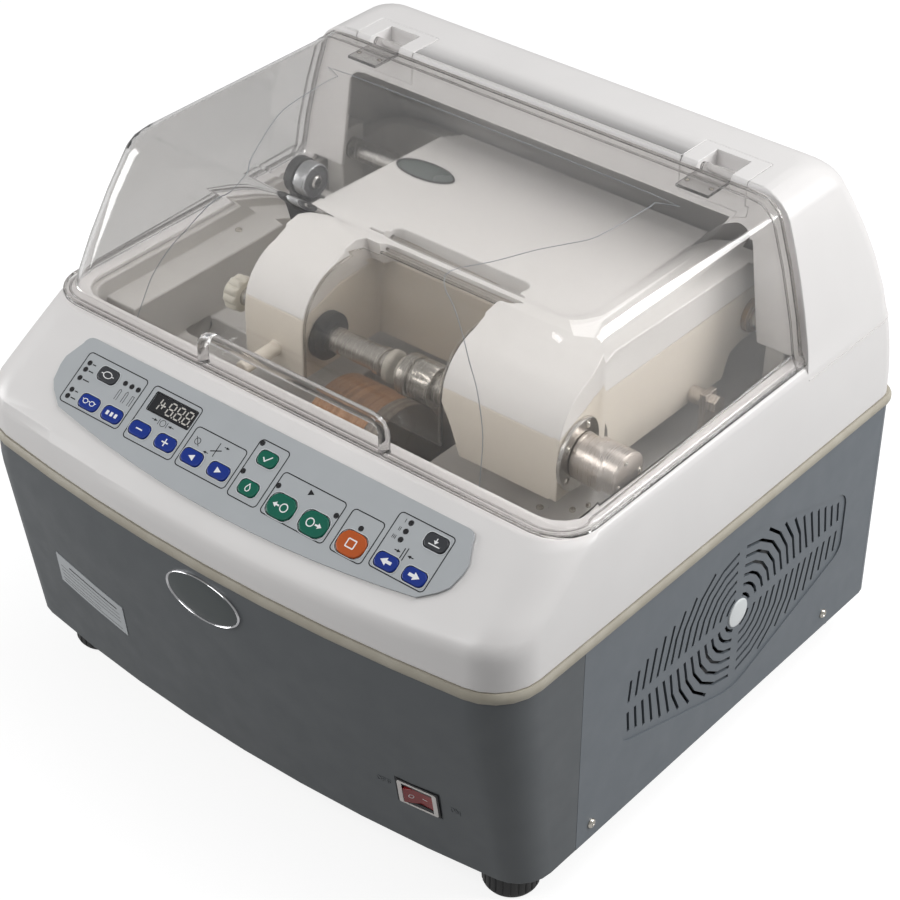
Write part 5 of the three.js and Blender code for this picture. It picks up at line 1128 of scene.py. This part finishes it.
# left, right, bottom and top edge of each printed box, in mm on the slope
key_boxes = [
    (-184.5, -120.5, -45, 0), (-113, -62.3, -47, 0), (-58, -6.5, -47, -13), (-2.7, 26.3, -48.4, 0.6),
    (30.7, 92, -48.5, -13.4), (98.7, 128.6, -48.7, -13.7), (133.3, 184, -45.5, 0),
]
kind_lamp_u = -179
kind_lamp_vs = (-8.5, -14.5, -22.4, -33.4, -39.3)
bevel_lamp_us = (-138.5, -131.5, -124.6)
bevel_lamp_v = -10
force_lamp_u = 145.5
force_lamp_vs = (-4.8, -11.9, -18.8)
lamp_places = [
    *((kind_lamp_u, v) for v in kind_lamp_vs), *((u, bevel_lamp_v) for u in bevel_lamp_us),
    (0, -2.4), (-0.8, -27.6), (32.8, -25), (89.2, -25), (112.8, -25),
    *((force_lamp_u, v) for v in force_lamp_vs),
]
lamp_radius = 1.65
lamp_ring = 0.5
lamp_ring_gap = 0.35

box_print = Print(film_level)
for left, right, bottom, top in key_boxes:
    box_print.line(round_box(left, right, bottom, top, box_corner), box_line, True)
for u, v in lamp_places:
    box_print.ring(u, v, lamp_radius + lamp_ring_gap, lamp_ring)
box_print.piece("keypad_boxes", "housing", "panel_film", black_ink)

lamp_lens = keypad_film("smoked_lamp_lens", "19191B", "232326", 0.18)
lamp_print = Print(film_level, 0.25 * MM)
for u, v in lamp_places:
    lamp_print.disc(u, v, lamp_radius)
lamp_print.piece("keypad_lamps", "housing", "display_window", lamp_lens)
print(len(key_boxes), "boxes and", len(lamp_places), "lamps printed")

# %% [markdown]
# Beside some lamps and under the display the panel has small signs. Three lens edges show the kinds of
# bevel, a lens between arrows shows its width, and the lens in its chuck is drawn over the last keys.
# The lamps of the press force are numbered.

# %% Printed signs
sign_print = Print(film_level)
fine_line = 0.45
neck_share = 0.45


def arrow(sheet, u, v, length, across, thick):
    """A block arrow that points along u, to the left where the length is negative."""
    neck = u + length * neck_share
    outline = [(u, v - thick / 2), (neck, v - thick / 2), (neck, v - across / 2), (u + length, v),
               (neck, v + across / 2), (neck, v + thick / 2), (u, v + thick / 2)]
    sheet.fill(outline if length > 0 else outline[::-1])


# three lens edges under their lamps: rounded, bevelled and flat
edge_half = 1.1
edge_foot = -25
edge_shoulder = -16.5
for place, rise in zip(bevel_lamp_us, (0.8, 1.5, 0.0)):
    sign_print.line([(place - edge_half, edge_foot), (place - edge_half, edge_shoulder),
                     (place, edge_shoulder + rise), (place + edge_half, edge_shoulder),
                     (place + edge_half, edge_foot)], fine_line)
# a plain mark beside each lamp at the left, longer for each step
mark_u = kind_lamp_u + 3.4
for v, length in zip(kind_lamp_vs, (3.4, 5.0, 6.6, 3.4, 5.0)):
    sign_print.line([(mark_u, v), (mark_u + length, v)], 0.9)
# the lens width under the display
width_u = -87
width_v = -24.2
sign_print.ring(width_u, width_v, 2.6, fine_line)
for side in (-1, 1):
    stop_u = width_u + side * 4.2
    sign_print.line([(stop_u, width_v - 2.4), (stop_u, width_v + 2.4)], fine_line)
    arrow(sign_print, width_u + side * 11.5, width_v, -side * 6.0, 2.2, 0.5)
# the lens against the wheel over the left and right keys, and the closing chuck over the last two
sign_print.ring(-50.6, -23.6, 2.6, 0.5)
for first, last, width in (
        ((-53.6, -20.2), (-47.6, -27.2), 0.5), ((-31.5, -17.0), (-31.5, -29.0), 0.7),
        ((-36.0, -25.8), (-27.0, -22.0), 0.9), ((153.0, -22.6), (153.0, -31.0), 0.8),
        ((155.4, -21.6), (155.4, -31.8), 0.8)):
    sign_print.line([first, last], width)
for u, v, length, across, thick in (
        (-26.6, -18.4, 5.0, 2.2, 0.6), (-36.4, -28.4, -5.0, 2.2, 0.6), (145.6, -26.8, 5.6, 2.6, 0.8),
        (163.0, -26.8, -5.6, 2.6, 0.8)):
    arrow(sign_print, u, v, length, across, thick)
# a start triangle over the two start keys
sign_print.fill([(58.6, -21.4), (63.6, -18.9), (58.6, -16.4)])
# one, two and three strokes number the lamps of the press force
stroke_u = 140.6
stroke_pitch = 1.3
stroke_half = 1.5
for strokes, v in enumerate(force_lamp_vs, 1):
    for i in range(strokes):
        u = stroke_u - i * stroke_pitch
        sign_print.line([(u, v - stroke_half), (u, v + stroke_half)], fine_line)
sign_print.piece("keypad_signs", "housing", "panel_film", black_ink)
print("signs printed")

# %% [markdown]
# A key is a dome in the film. The pale line round it is a painted highlight on its pressed rim, and the thin
# dark line at its foot is painted shade. Its sign is printed on the dome, so it rides on the key and moves
# down with it. The signs are the plain ones of workshop machines.

# %% Key rim highlights, edge shade and key signs
# centre of each key on the slope, in mm
key_centres = {
    "lens_key": (-156.6, -10.9), "frame_key": (-157, -36.5), "mode_key": (-132, -36.5),
    "minus_key": (-102, -36.5), "plus_key": (-74.6, -36.5), "left_key": (-46.7, -36.6),
    "right_key": (-19.2, -36.6), "test_key": (12, -11.7), "valve_key": (11.8, -37.4),
    "start_left_key": (45.3, -38.2), "start_right_key": (77.2, -38.2), "stop_key": (113.2, -38.2),
    "press_key": (171.8, -9.3), "chuck_open_key": (145.6, -37.7), "chuck_close_key": (171.7, -37.7),
}
corner_share = 0.72
# the rim is a lighter copy of the panel film's grey, a painted highlight on the raised rim
rim_highlight_film = keypad_film("painted_rim_highlight", "C3C7CA", "BBBFC2", 0.4)
rim_highlight_print = Print(film_level, 0.3 * MM)
# the thin black line just round each key is painted shade at the foot of its dome
shade_print = Print(film_level, 0.05 * MM)
for node, (u, v) in key_centres.items():
    face = [point.co for point in cad_nodes[node].data.vertices]
    half_u, half_v = (
        (max(reach) - min(reach)) / 2 / MM
        for reach in ([point.x for point in face], [point.dot(up_slope) for point in face]))
    corner = min(half_u, half_v) * corner_share
    for sheet, gap, width in ((rim_highlight_print, 0.7, 0.6), (shade_print, 0.2, 0.45)):
        sheet.line(box_about(u, v, half_u + gap, half_v + gap, corner + gap), width, True)
rim_highlight_print.piece("key_rims", "housing", "panel_film", rim_highlight_film)
shade_print.piece("key_gaps", "housing", "panel_film", black_ink)


def key_sign(sheet, node, u, v):
    """Draws the sign of one key about its centre."""
    if node == "lens_key":
        sheet.ring(u, v, 4.2, 0.7, 0.62)
        sheet.line([(u - 6.6, v), (u - 4.6, v)], 0.7)
        sheet.line([(u + 4.6, v), (u + 6.6, v)], 0.7)
    elif node == "frame_key":
        for side in (-1, 1):
            sheet.ring(u + side * 3.5, v, 2.3, 0.65, 0.8)
            sheet.line([(u + side * 5.8, v + 0.6), (u + side * 7.0, v + 1.3)], 0.6)
        sheet.line([(u - 1.2, v + 0.4), (u, v + 0.8), (u + 1.2, v + 0.4)], 0.6)
    elif node == "mode_key":
        for side in (-1, 0, 1):
            sheet.fill(box_about(u + side * 4.4, v, 1.3, 1.8, 0.5))
    elif node in ("minus_key", "plus_key"):
        sheet.line([(u - 3.2, v), (u + 3.2, v)], 1.1)
        if node == "plus_key":
            sheet.line([(u, v - 3.2), (u, v - 0.56)], 1.1)
            sheet.line([(u, v + 0.56), (u, v + 3.2)], 1.1)
    elif node in ("left_key", "right_key"):
        side = -1 if node == "left_key" else 1
        sheet.fill([(u - side * 2.4, v - 2.6), (u + side * 3.0, v), (u - side * 2.4, v + 2.6)][::side])
    elif node == "test_key":
        sheet.line([(u - 3.6, v + 0.2), (u - 1.0, v - 2.4), (u + 3.8, v + 2.8)], 1.0)
    elif node == "valve_key":
        sheet.line([(u, v + 3.4), (u + 1.9, v + 0.2), (u + 1.9, v - 1.4), (u + 0.8, v - 2.6),
                    (u - 0.8, v - 2.6), (u - 1.9, v - 1.4), (u - 1.9, v + 0.2)], 0.75, True)
    elif node in ("start_left_key", "start_right_key"):
        side = -1 if node == "start_left_key" else 1
        sheet.ring(u - side * 3.0, v, 3.2, 0.9)
        arrow(sheet, u + side * 1.6, v, side * 6.2, 4.6, 1.3)
    elif node == "stop_key":
        sheet.line(box_about(u, v, 3.6, 3.2, 0.6), 1.0, True)
    elif node == "press_key":
        sheet.line([(u - 5.0, v - 2.6), (u + 5.0, v - 2.6)], 0.8)
        sheet.fill([(u, v - 1.6), (u + 2.2, v + 1.0), (u - 2.2, v + 1.0)])
        sheet.line([(u, v + 1.0), (u, v + 3.2)], 0.9)
    else:
        side = -1 if node == "chuck_open_key" else 1
        arrow(sheet, u - side * 5.0, v, side * 10.0, 6.4, 2.4)


for node, (u, v) in key_centres.items():
    sheet = Print(key_level(node))
    key_sign(sheet, node, u, v)
    sheet.piece(f"{node}_sign", node_bodies[node], node_slots[node], white_ink)
print(len(key_centres), "keys signed")

# %% [markdown]
# The display is a glossy smoked window with a one, a sign and three seven-segment digits. Every segment
# shows, pale against the dark film. They are drawn as a print on the window's face.

# %% Display
digit_film = keypad_film("pale_unlit_segments", "C4C1BB", "BAB7B1", 0.3)
window_level = key_level("display_window")
display_u = -86.25
display_v = -11.95
digit_print = Print(window_level, 0.03 * MM)
digit_half_u = 2.8
digit_half_v = 5.3
digit_lean = 0.1
segment_width = 1.15
segment_gap_share = 0.62


def digit(u, lit):
    """Draws the named segments of one digit: a to g, clockwise from the top, g in the middle."""
    ends = {
        "a": ((-1, 1), (1, 1)), "b": ((1, 1), (1, 0)), "c": ((1, 0), (1, -1)), "d": ((1, -1), (-1, -1)),
        "e": ((-1, -1), (-1, 0)), "f": ((-1, 0), (-1, 1)), "g": ((-1, 0), (1, 0)),
    }
    for name in lit:
        start, end = (
            Vector((u + side * digit_half_u + rise * digit_half_v * digit_lean,
                    display_v + rise * digit_half_v))
            for side, rise in ends[name])
        inset = (end - start).normalized() * segment_width * segment_gap_share
        digit_print.line([tuple(start + inset), tuple(end - inset)], segment_width)


digit(display_u - 16.4, "bc")
plus_u = display_u - 10.1
digit_print.line([(plus_u - 2.5, display_v), (plus_u + 2.5, display_v)], segment_width)
for side in (1, -1):
    digit_print.line([(plus_u, display_v + side * 0.7), (plus_u, display_v + side * 2.9)], segment_width)
for place in (-1.6, 7.2, 16.0):
    digit(display_u + place, "abcdefg")
    digit_print.disc(display_u + place + 4.2, display_v - digit_half_v, 0.6)
digit_print.piece("display_digits", "housing", "display_window", digit_film)
window_rim = Print(film_level, 0.2 * MM)
window_rim.line(box_about(display_u, display_v, 21.9, 8.1, 1.4), 0.7, True)
window_rim.piece("display_rim", "housing", "panel_film", black_ink)
print("display made")

# %% [markdown]
# The front badge is an oval with a chromed rim round a dark enamelled field, and a second oval lies on
# the carriage cover. Both are plain, and so is the silver plate at the left with its ruled lines. Each
# follows the surface that carries it: every point of its outline is dropped onto the CAD node. The pale
# discs in the middle of the side vents are laid on in the same way.

# %% Badges and plates
chromed_zinc = turned_metal("chromed_zinc", "D6D6D8", "C6C6C9", 0.13, 2.0 * MM, 0.002 * MM, (1.0, 1.0, 1.0))
badge_enamel = moulded_plastic("dark_grey_enamel", "43494A", "3D4344", 0.22, 3.0 * MM, 0.02 * MM)
cover_enamel = moulded_plastic("grey_green_enamel", "626967", "5B6260", 0.26, 3.0 * MM, 0.02 * MM)
label_foil = moulded_plastic("silver_polyester_label", "B9BDC0", "B1B5B8", 0.32, 0.8 * MM, 0.006 * MM)
ray_reach = 200 * MM


def draped(name, carrier, centre, outline, rows, sight, body, slot, finish):
    """A thin plate on a surface. Rows are (scale of the outline, height in mm), from the middle of its
    underside to the middle of its face. Sight is the direction in which it is laid on."""
    shape = bmesh.new()
    levels = []
    for scale, height in rows:
        level = []
        for point in outline:
            start = (Vector(centre) + Vector(point) * scale) * MM - Vector(sight) * ray_reach
            place, _ = landing(carrier, start, sight)
            level.append(shape.verts.new(place - Vector(sight) * height * MM))
        levels.append(level)
    bridge_rows(shape, levels)
    shape.faces.new(reversed(levels[0]))
    shape.faces.new(levels[-1])
    return new_piece(name, finish_mesh(name, shape, math.radians(50)), body, slot, finish)


rim_rows = [(0.88, -0.4), (1.0, -0.4), (1.0, 0.9), (0.99, 1.7), (0.972, 2.1), (0.955, 1.9), (0.942, 1.4),
            (0.935, 0.9), (0.88, 0.7)]
field_rows = [(0.1, -0.3), (0.94, -0.3), (0.94, 1.0), (0.88, 1.35), (0.55, 1.55), (0.1, 1.6)]
bead_rows = [(0.9, -0.3), (1.0, -0.3), (1.0, 0.3), (0.98, 0.6), (0.95, 0.6), (0.93, 0.2)]
front_oval = [(u, 0, v) for u, v in ellipse(0, 0, 38.5, 19.5, 72)]
cover_oval = [(u, v, 0) for u, v in ellipse(0, 0, 29.0, 13.2, 64)]
bead_oval = [(u, v, 0) for u, v in ellipse(0, 0, 30.2, 14.3, 64)]
badge_centre = (-3, -266, 214.2)
cover_badge_centre = (-80.2, 83.8, 400)
draped("front_badge_rim", "front_fascia", badge_centre, front_oval, rim_rows, Y_AXIS, "housing",
       "bright_steel", chromed_zinc)
draped("front_badge_field", "front_fascia", badge_centre, front_oval, field_rows, Y_AXIS, "housing",
       "display_window", badge_enamel)
draped("cover_badge_rim", "carriage_cover", cover_badge_centre, cover_oval, rim_rows, -Z_AXIS, "carriage",
       "black_plastic", black_nylon)
draped("cover_badge_field", "carriage_cover", cover_badge_centre, cover_oval, field_rows, -Z_AXIS, "carriage",
       "display_window", cover_enamel)
draped("cover_badge_bead", "carriage_cover", cover_badge_centre, bead_oval, bead_rows, -Z_AXIS, "carriage",
       "white_cover", white_cover_abs)

label_half_u = 42
label_half_v = 18
label_lean = math.radians(-7)
label_centre = (-155, -244, 126.5)


def on_label(u, v, height):
    """A point of the label plate, on the fascia that carries it."""
    x = label_centre[0] + u * math.cos(label_lean) - v * math.sin(label_lean)
    z = label_centre[2] + u * math.sin(label_lean) + v * math.cos(label_lean)
    place, _ = landing("front_fascia", Vector((x, label_centre[1], z)) * MM - Y_AXIS * ray_reach, Y_AXIS)
    return place - Y_AXIS * height


plate_thickness = 0.5 * MM
plate = Print(0, plate_thickness, on_label)
plate_columns = 12
column = 2 * label_half_u / plate_columns
plate_low, plate_high = (
    [(-label_half_u + column * i, edge_v) for i in range(plate_columns + 1)]
    for edge_v in (-label_half_v, label_half_v))
plate.between(plate_low, plate_high, False)
plate.piece("label_plate", "housing", "satin_steel", label_foil)
ruling = Print(plate_thickness, 0.05 * MM, on_label)
for v, left, right, thick in ((10, -26, 34, 1.6), (4.5, -38, 36, 0.5), (-0.5, -38, 36, 0.5),
                              (-5.5, -38, 36, 0.5), (-10.5, -38, 10, 0.5), (-14.0, -38, 36, 0.5)):
    steps = max(2, round((right - left) / column))
    ruling.line([(left + (right - left) * i / steps, v) for i in range(steps + 1)], thick)
ruling.piece("label_ruling", "housing", "display_window", black_ink)

hub_radius = 12.6
hub_place = (270, 51, 145)
hub_outline = [(0, u, v) for u, v in ellipse(0, 0, hub_radius, hub_radius, 48)]
hub_rows = [(0.1, -0.3), (1.0, -0.3), (1.0, 0.6), (0.96, 1.05), (0.9, 1.15), (0.1, 1.15)]
hub_white = moulded_plastic("pale_hub_disc", "D9DDDE", "CFD3D4", 0.34, 1.4 * MM, 0.012 * MM)
for side, carrier in ((1, "side_panel_right"), (-1, "side_panel_left")):
    draped(carrier.replace("side_panel", "vent_hub"), carrier, (side * hub_place[0], *hub_place[1:]),
           hub_outline, hub_rows, -side * X_AXIS, "housing", "white_shell", hub_white)
print("two badges, one plate and two hub discs laid on")

# %% [markdown]
# The mains switch has a pale frame round its red rocker. Its ON and OFF are moulded into the fascia,
# and the rocker carries the usual ring and bar, printed in white.

# %% Mains switch
switch_origin = Vector((183, -235.63, 104)) * MM
switch_in = Vector((-0.13105, 0.97235, 0.19328))
switch_up = Vector((0.02582, -0.19154, 0.98114))
switch_right = switch_in.cross(switch_up)
switch_clear = 30


def switch_plane(carrier):
    """A function that puts points on a part of the switch, seen straight on."""
    def on_switch(u, v, height):
        start = switch_origin + (u * switch_right + v * switch_up - switch_clear * switch_in) * MM
        place, _ = landing(carrier, start, switch_in)
        return place - switch_in * height
    return on_switch


def on_fascia(u, v, height):
    """A point on the fascia, from its x and z in millimetres."""
    return from_front("front_fascia", u, v) - Y_AXIS * height


frame_face = Print(0, 0.5 * MM, switch_plane("switch_frame"))
frame_face.between(box_about(0, 0, 13.4, 11.3, 0.8), box_about(0, 0, 17.2, 12.7, 1.6))
frame_face.piece("switch_frame_face", "housing", "white_cover",
                 moulded_plastic("pale_switch_nylon", "D9D5D2", "CFCBC8", 0.34, 1.4 * MM, 0.012 * MM))
rocker_marks = Print(0, 0.08 * MM, switch_plane("switch_rocker"))
rocker_marks.ring(-5.4, 0, 1.9, 0.5)
rocker_marks.line([(3.4, 0), (7.4, 0)], 0.6)
rocker_marks.piece("rocker_marks", "rocker", "white_cover", white_ink)

letters = Print(0, 0.35 * MM, on_fascia)
letter_height = 4.6
letter_width = 3.0
letter_pitch = 4.6
letter_line = 0.8
word_foot = 104.6


def letter(name, left, bottom):
    """One capital of the words ON and OFF, as lines."""
    right = left + letter_width
    top = bottom + letter_height
    middle = (bottom + top) / 2
    if name == "O":
        letters.line(round_box(left, right, bottom, top, 1.4), letter_line, True)
    elif name == "N":
        letters.line([(left, bottom), (left, top), (right, bottom), (right, top)], letter_line)
    else:
        letters.line([(left, bottom), (left, top), (right, top)], letter_line)
        letters.line([(left + 0.4, middle), (right - 0.4, middle)], letter_line)


for word, left in (("OFF", 147.0), ("ON", 211.4)):
    for place, name in enumerate(word):
        letter(name, left + place * letter_pitch, word_foot)
letters.piece("switch_words", "housing", "grey_casing", grey_abs)
print("switch dressed")

# %% [markdown]
# A fine score line arches over the front and the top of the lid, where its mould parts meet. It is drawn
# as a thin grey tube, and its grey is painted shade along that seam in the clear acrylic. Along the hinge
# the lid ends in two rolled beads, whose edges catch the light. Two more run round its flange, and one
# along each side edge of the splash guard. All of these are thin tubes that follow the acrylic.

# %% Lines and beads of the lid
# the score line's grey is painted shade along the seam, not a colour of the acrylic
score_shade_finish = moulded_plastic("score_line_painted_shade", "84888B", "7B7F82", 0.3, 2.0 * MM, 0.01 * MM)
score_radius = 0.38
score_steps = 3
# the score line's course in mm: x and z up the front of both sides, then x and y over the top
front_arch = [(172, 340), (169, 356), (165, 374), (157, 392), (149, 406), (140, 418), (129, 434), (116, 450),
              (104, 459)]
left_top = [(-104, -96), (-116, -80), (-135, -44), (-148, -16), (-154, 5), (-158, 46), (-157.5, 66),
            (-150, 75)]
right_top = [(101, -104), (117, -76), (131, -43), (144, -20), (153, 0), (156, 46), (156, 66), (149, 75)]
score_path = eased([
    *(from_front("lid", -x, z) for x, z in front_arch),
    *(from_above("lid", x, y) for x, y in left_top),
    *(from_above("lid", x, y) for x, y in reversed(right_top)),
    *(from_front("lid", x, z) for x, z in reversed(front_arch)),
], score_steps)
tube("lid_score_line", score_path, score_radius, "lid", "clear_lid", score_shade_finish, sides=6)

# The rear beads: each point is found from a place one metre out, in towards the middle of the lid
bead_samples = 100
bead_from = math.radians(-11.8)
bead_sweep = math.radians(203.6)
bead_middle = 392
for name, bead_y, radius in (("lid_rear_bead", 126.6, 1.7), ("lid_inner_bead", 117.0, 1.2)):
    middle = Vector((0, bead_y, bead_middle)) * MM
    bead_path = []
    for i in range(bead_samples + 1):
        angle = bead_from + bead_sweep * i / bead_samples
        spoke = Vector((math.cos(angle), 0, math.sin(angle)))
        bead_path.append(landing("lid", middle + spoke, -spoke)[0])
    tube(name, bead_path, radius, "lid", "clear_lid")

# The flange: two rolled beads round three sides, from the left hinge over the front to the right one
flange_side = 262
flange_front = -171
flange_rear = 118
flange_corner = 34
corner_steps = 10
for name, inset, radius in (("lid_flange_bead", 1.6, 1.3), ("lid_flange_inner_bead", 6.0, 1.0)):
    side_x = flange_side - inset
    front_y = flange_front + inset
    bend = flange_corner - inset
    half_path = [(side_x, flange_rear)]
    for i in range(corner_steps + 1):
        angle = math.radians(90 * i / corner_steps)
        half_path.append((side_x - bend + bend * math.cos(angle), front_y + bend - bend * math.sin(angle)))
    flange_path = [(-x, y) for x, y in half_path] + half_path[::-1]
    tube(name, [from_above("lid", x, y) for x, y in flange_path], radius, "lid", "clear_lid")

# The splash guard's side edges are thickened, so they draw a line down its curved front
guard_centre = (-51, 345)
guard_reach = 45
guard_foot = 306
guard_step = 8
guard_back = -32
guard_clear = 30
guard_bead = 1.1
for name, edge_x in (("guard_left_bead", -49.3), ("guard_right_bead", 86.3)):
    guard_path = [from_front("lens_guard", edge_x, z) for z in range(guard_foot, guard_centre[1], guard_step)]
    for i in range(corner_steps + 1):
        angle = math.radians(180 - 90 * i / corner_steps)
        spoke = Vector((0, math.cos(angle), math.sin(angle)))
        start = (Vector((edge_x, *guard_centre)) + spoke * (guard_reach + guard_clear)) * MM
        guard_path.append(landing("lens_guard", start, -spoke)[0])
    guard_path.append(from_above("lens_guard", edge_x, guard_back))
    tube(name, guard_path, guard_bead, node_bodies["lens_guard"], "clear_guard")
print("lid and guard lines made")

# %% [markdown]
# Screws hold the side panels, the rear panel, the tub, the hinge leaves and the press motor. They are
# nickel plated, so they show as bright dots. Each set is one piece on one body.

# %% Fasteners
nickel_plate = turned_metal("nickel_plated_steel", "CFCBC3", "BEB9B0", 0.17, 1.2 * MM, 0.003 * MM)
side_screw_places = [(-136.7, 57.4), (188.4, 57.8)]
rear_screw_places = [(-236, 58), (236, 58), (-236, 224), (236, 224), (0, 58), (0, 224)]
tub_screw_places = [(-205, -140), (163, -71), (184, -58), (193, -44), (232, 20), (-232, 20)]
leaf_screw_places = {"hinge_leaf_left": (-175, -153), "hinge_leaf_right": (153, 175)}
leaf_screw_y = 112


def round_chuck(node, radius, angles):
    """Rows of screws on a circle round the chuck's axis, seen from the right."""
    _, axis_y, axis_z = chuck_centre
    return [(node, (clear_round, axis_y + radius * math.cos(math.radians(angle)),
                    axis_z + radius * math.sin(math.radians(angle))), -X_AXIS) for angle in angles]


# name, rows of (node, start, direction), body, share of the 8 mm head, seed
screw_sets = [
    ("side_panel_screws",
     [row for y, z in side_screw_places
      for row in (("side_panel_right", (clear_round, y, z), -X_AXIS),
                  ("side_panel_left", (-clear_round, y, z), X_AXIS))], "housing", 1.05, 3),
    ("rear_panel_screws",
     [("rear_panel", (x, clear_round, z), -Y_AXIS) for x, z in rear_screw_places], "housing", 0.9, 5),
    ("tub_screws",
     [("chamber_tub", (x, y, clear_top), -Z_AXIS) for x, y in tub_screw_places], "housing", 0.75, 7),
    ("hinge_leaf_screws",
     [(leaf, (x, leaf_screw_y, clear_top), -Z_AXIS) for leaf, places in leaf_screw_places.items()
      for x in places], "lid", 0.55, 9),
    ("press_flange_screws", round_chuck("chuck_flange", 23.7, (72, 144, 216, 288, 0)), "carriage", 0.72, 11),
    ("press_cap_screws", round_chuck("chuck_motor", 13.2, (-10, 110, 200)), "carriage", 0.5, 13),
]
for name, rows, body, size, seed in screw_sets:
    screws(name, rows, body, size, seed, nickel_plate)
bpy.data.objects.remove(cross_screw)
print(sum(len(rows) for _, rows, *_ in screw_sets), "screws set")
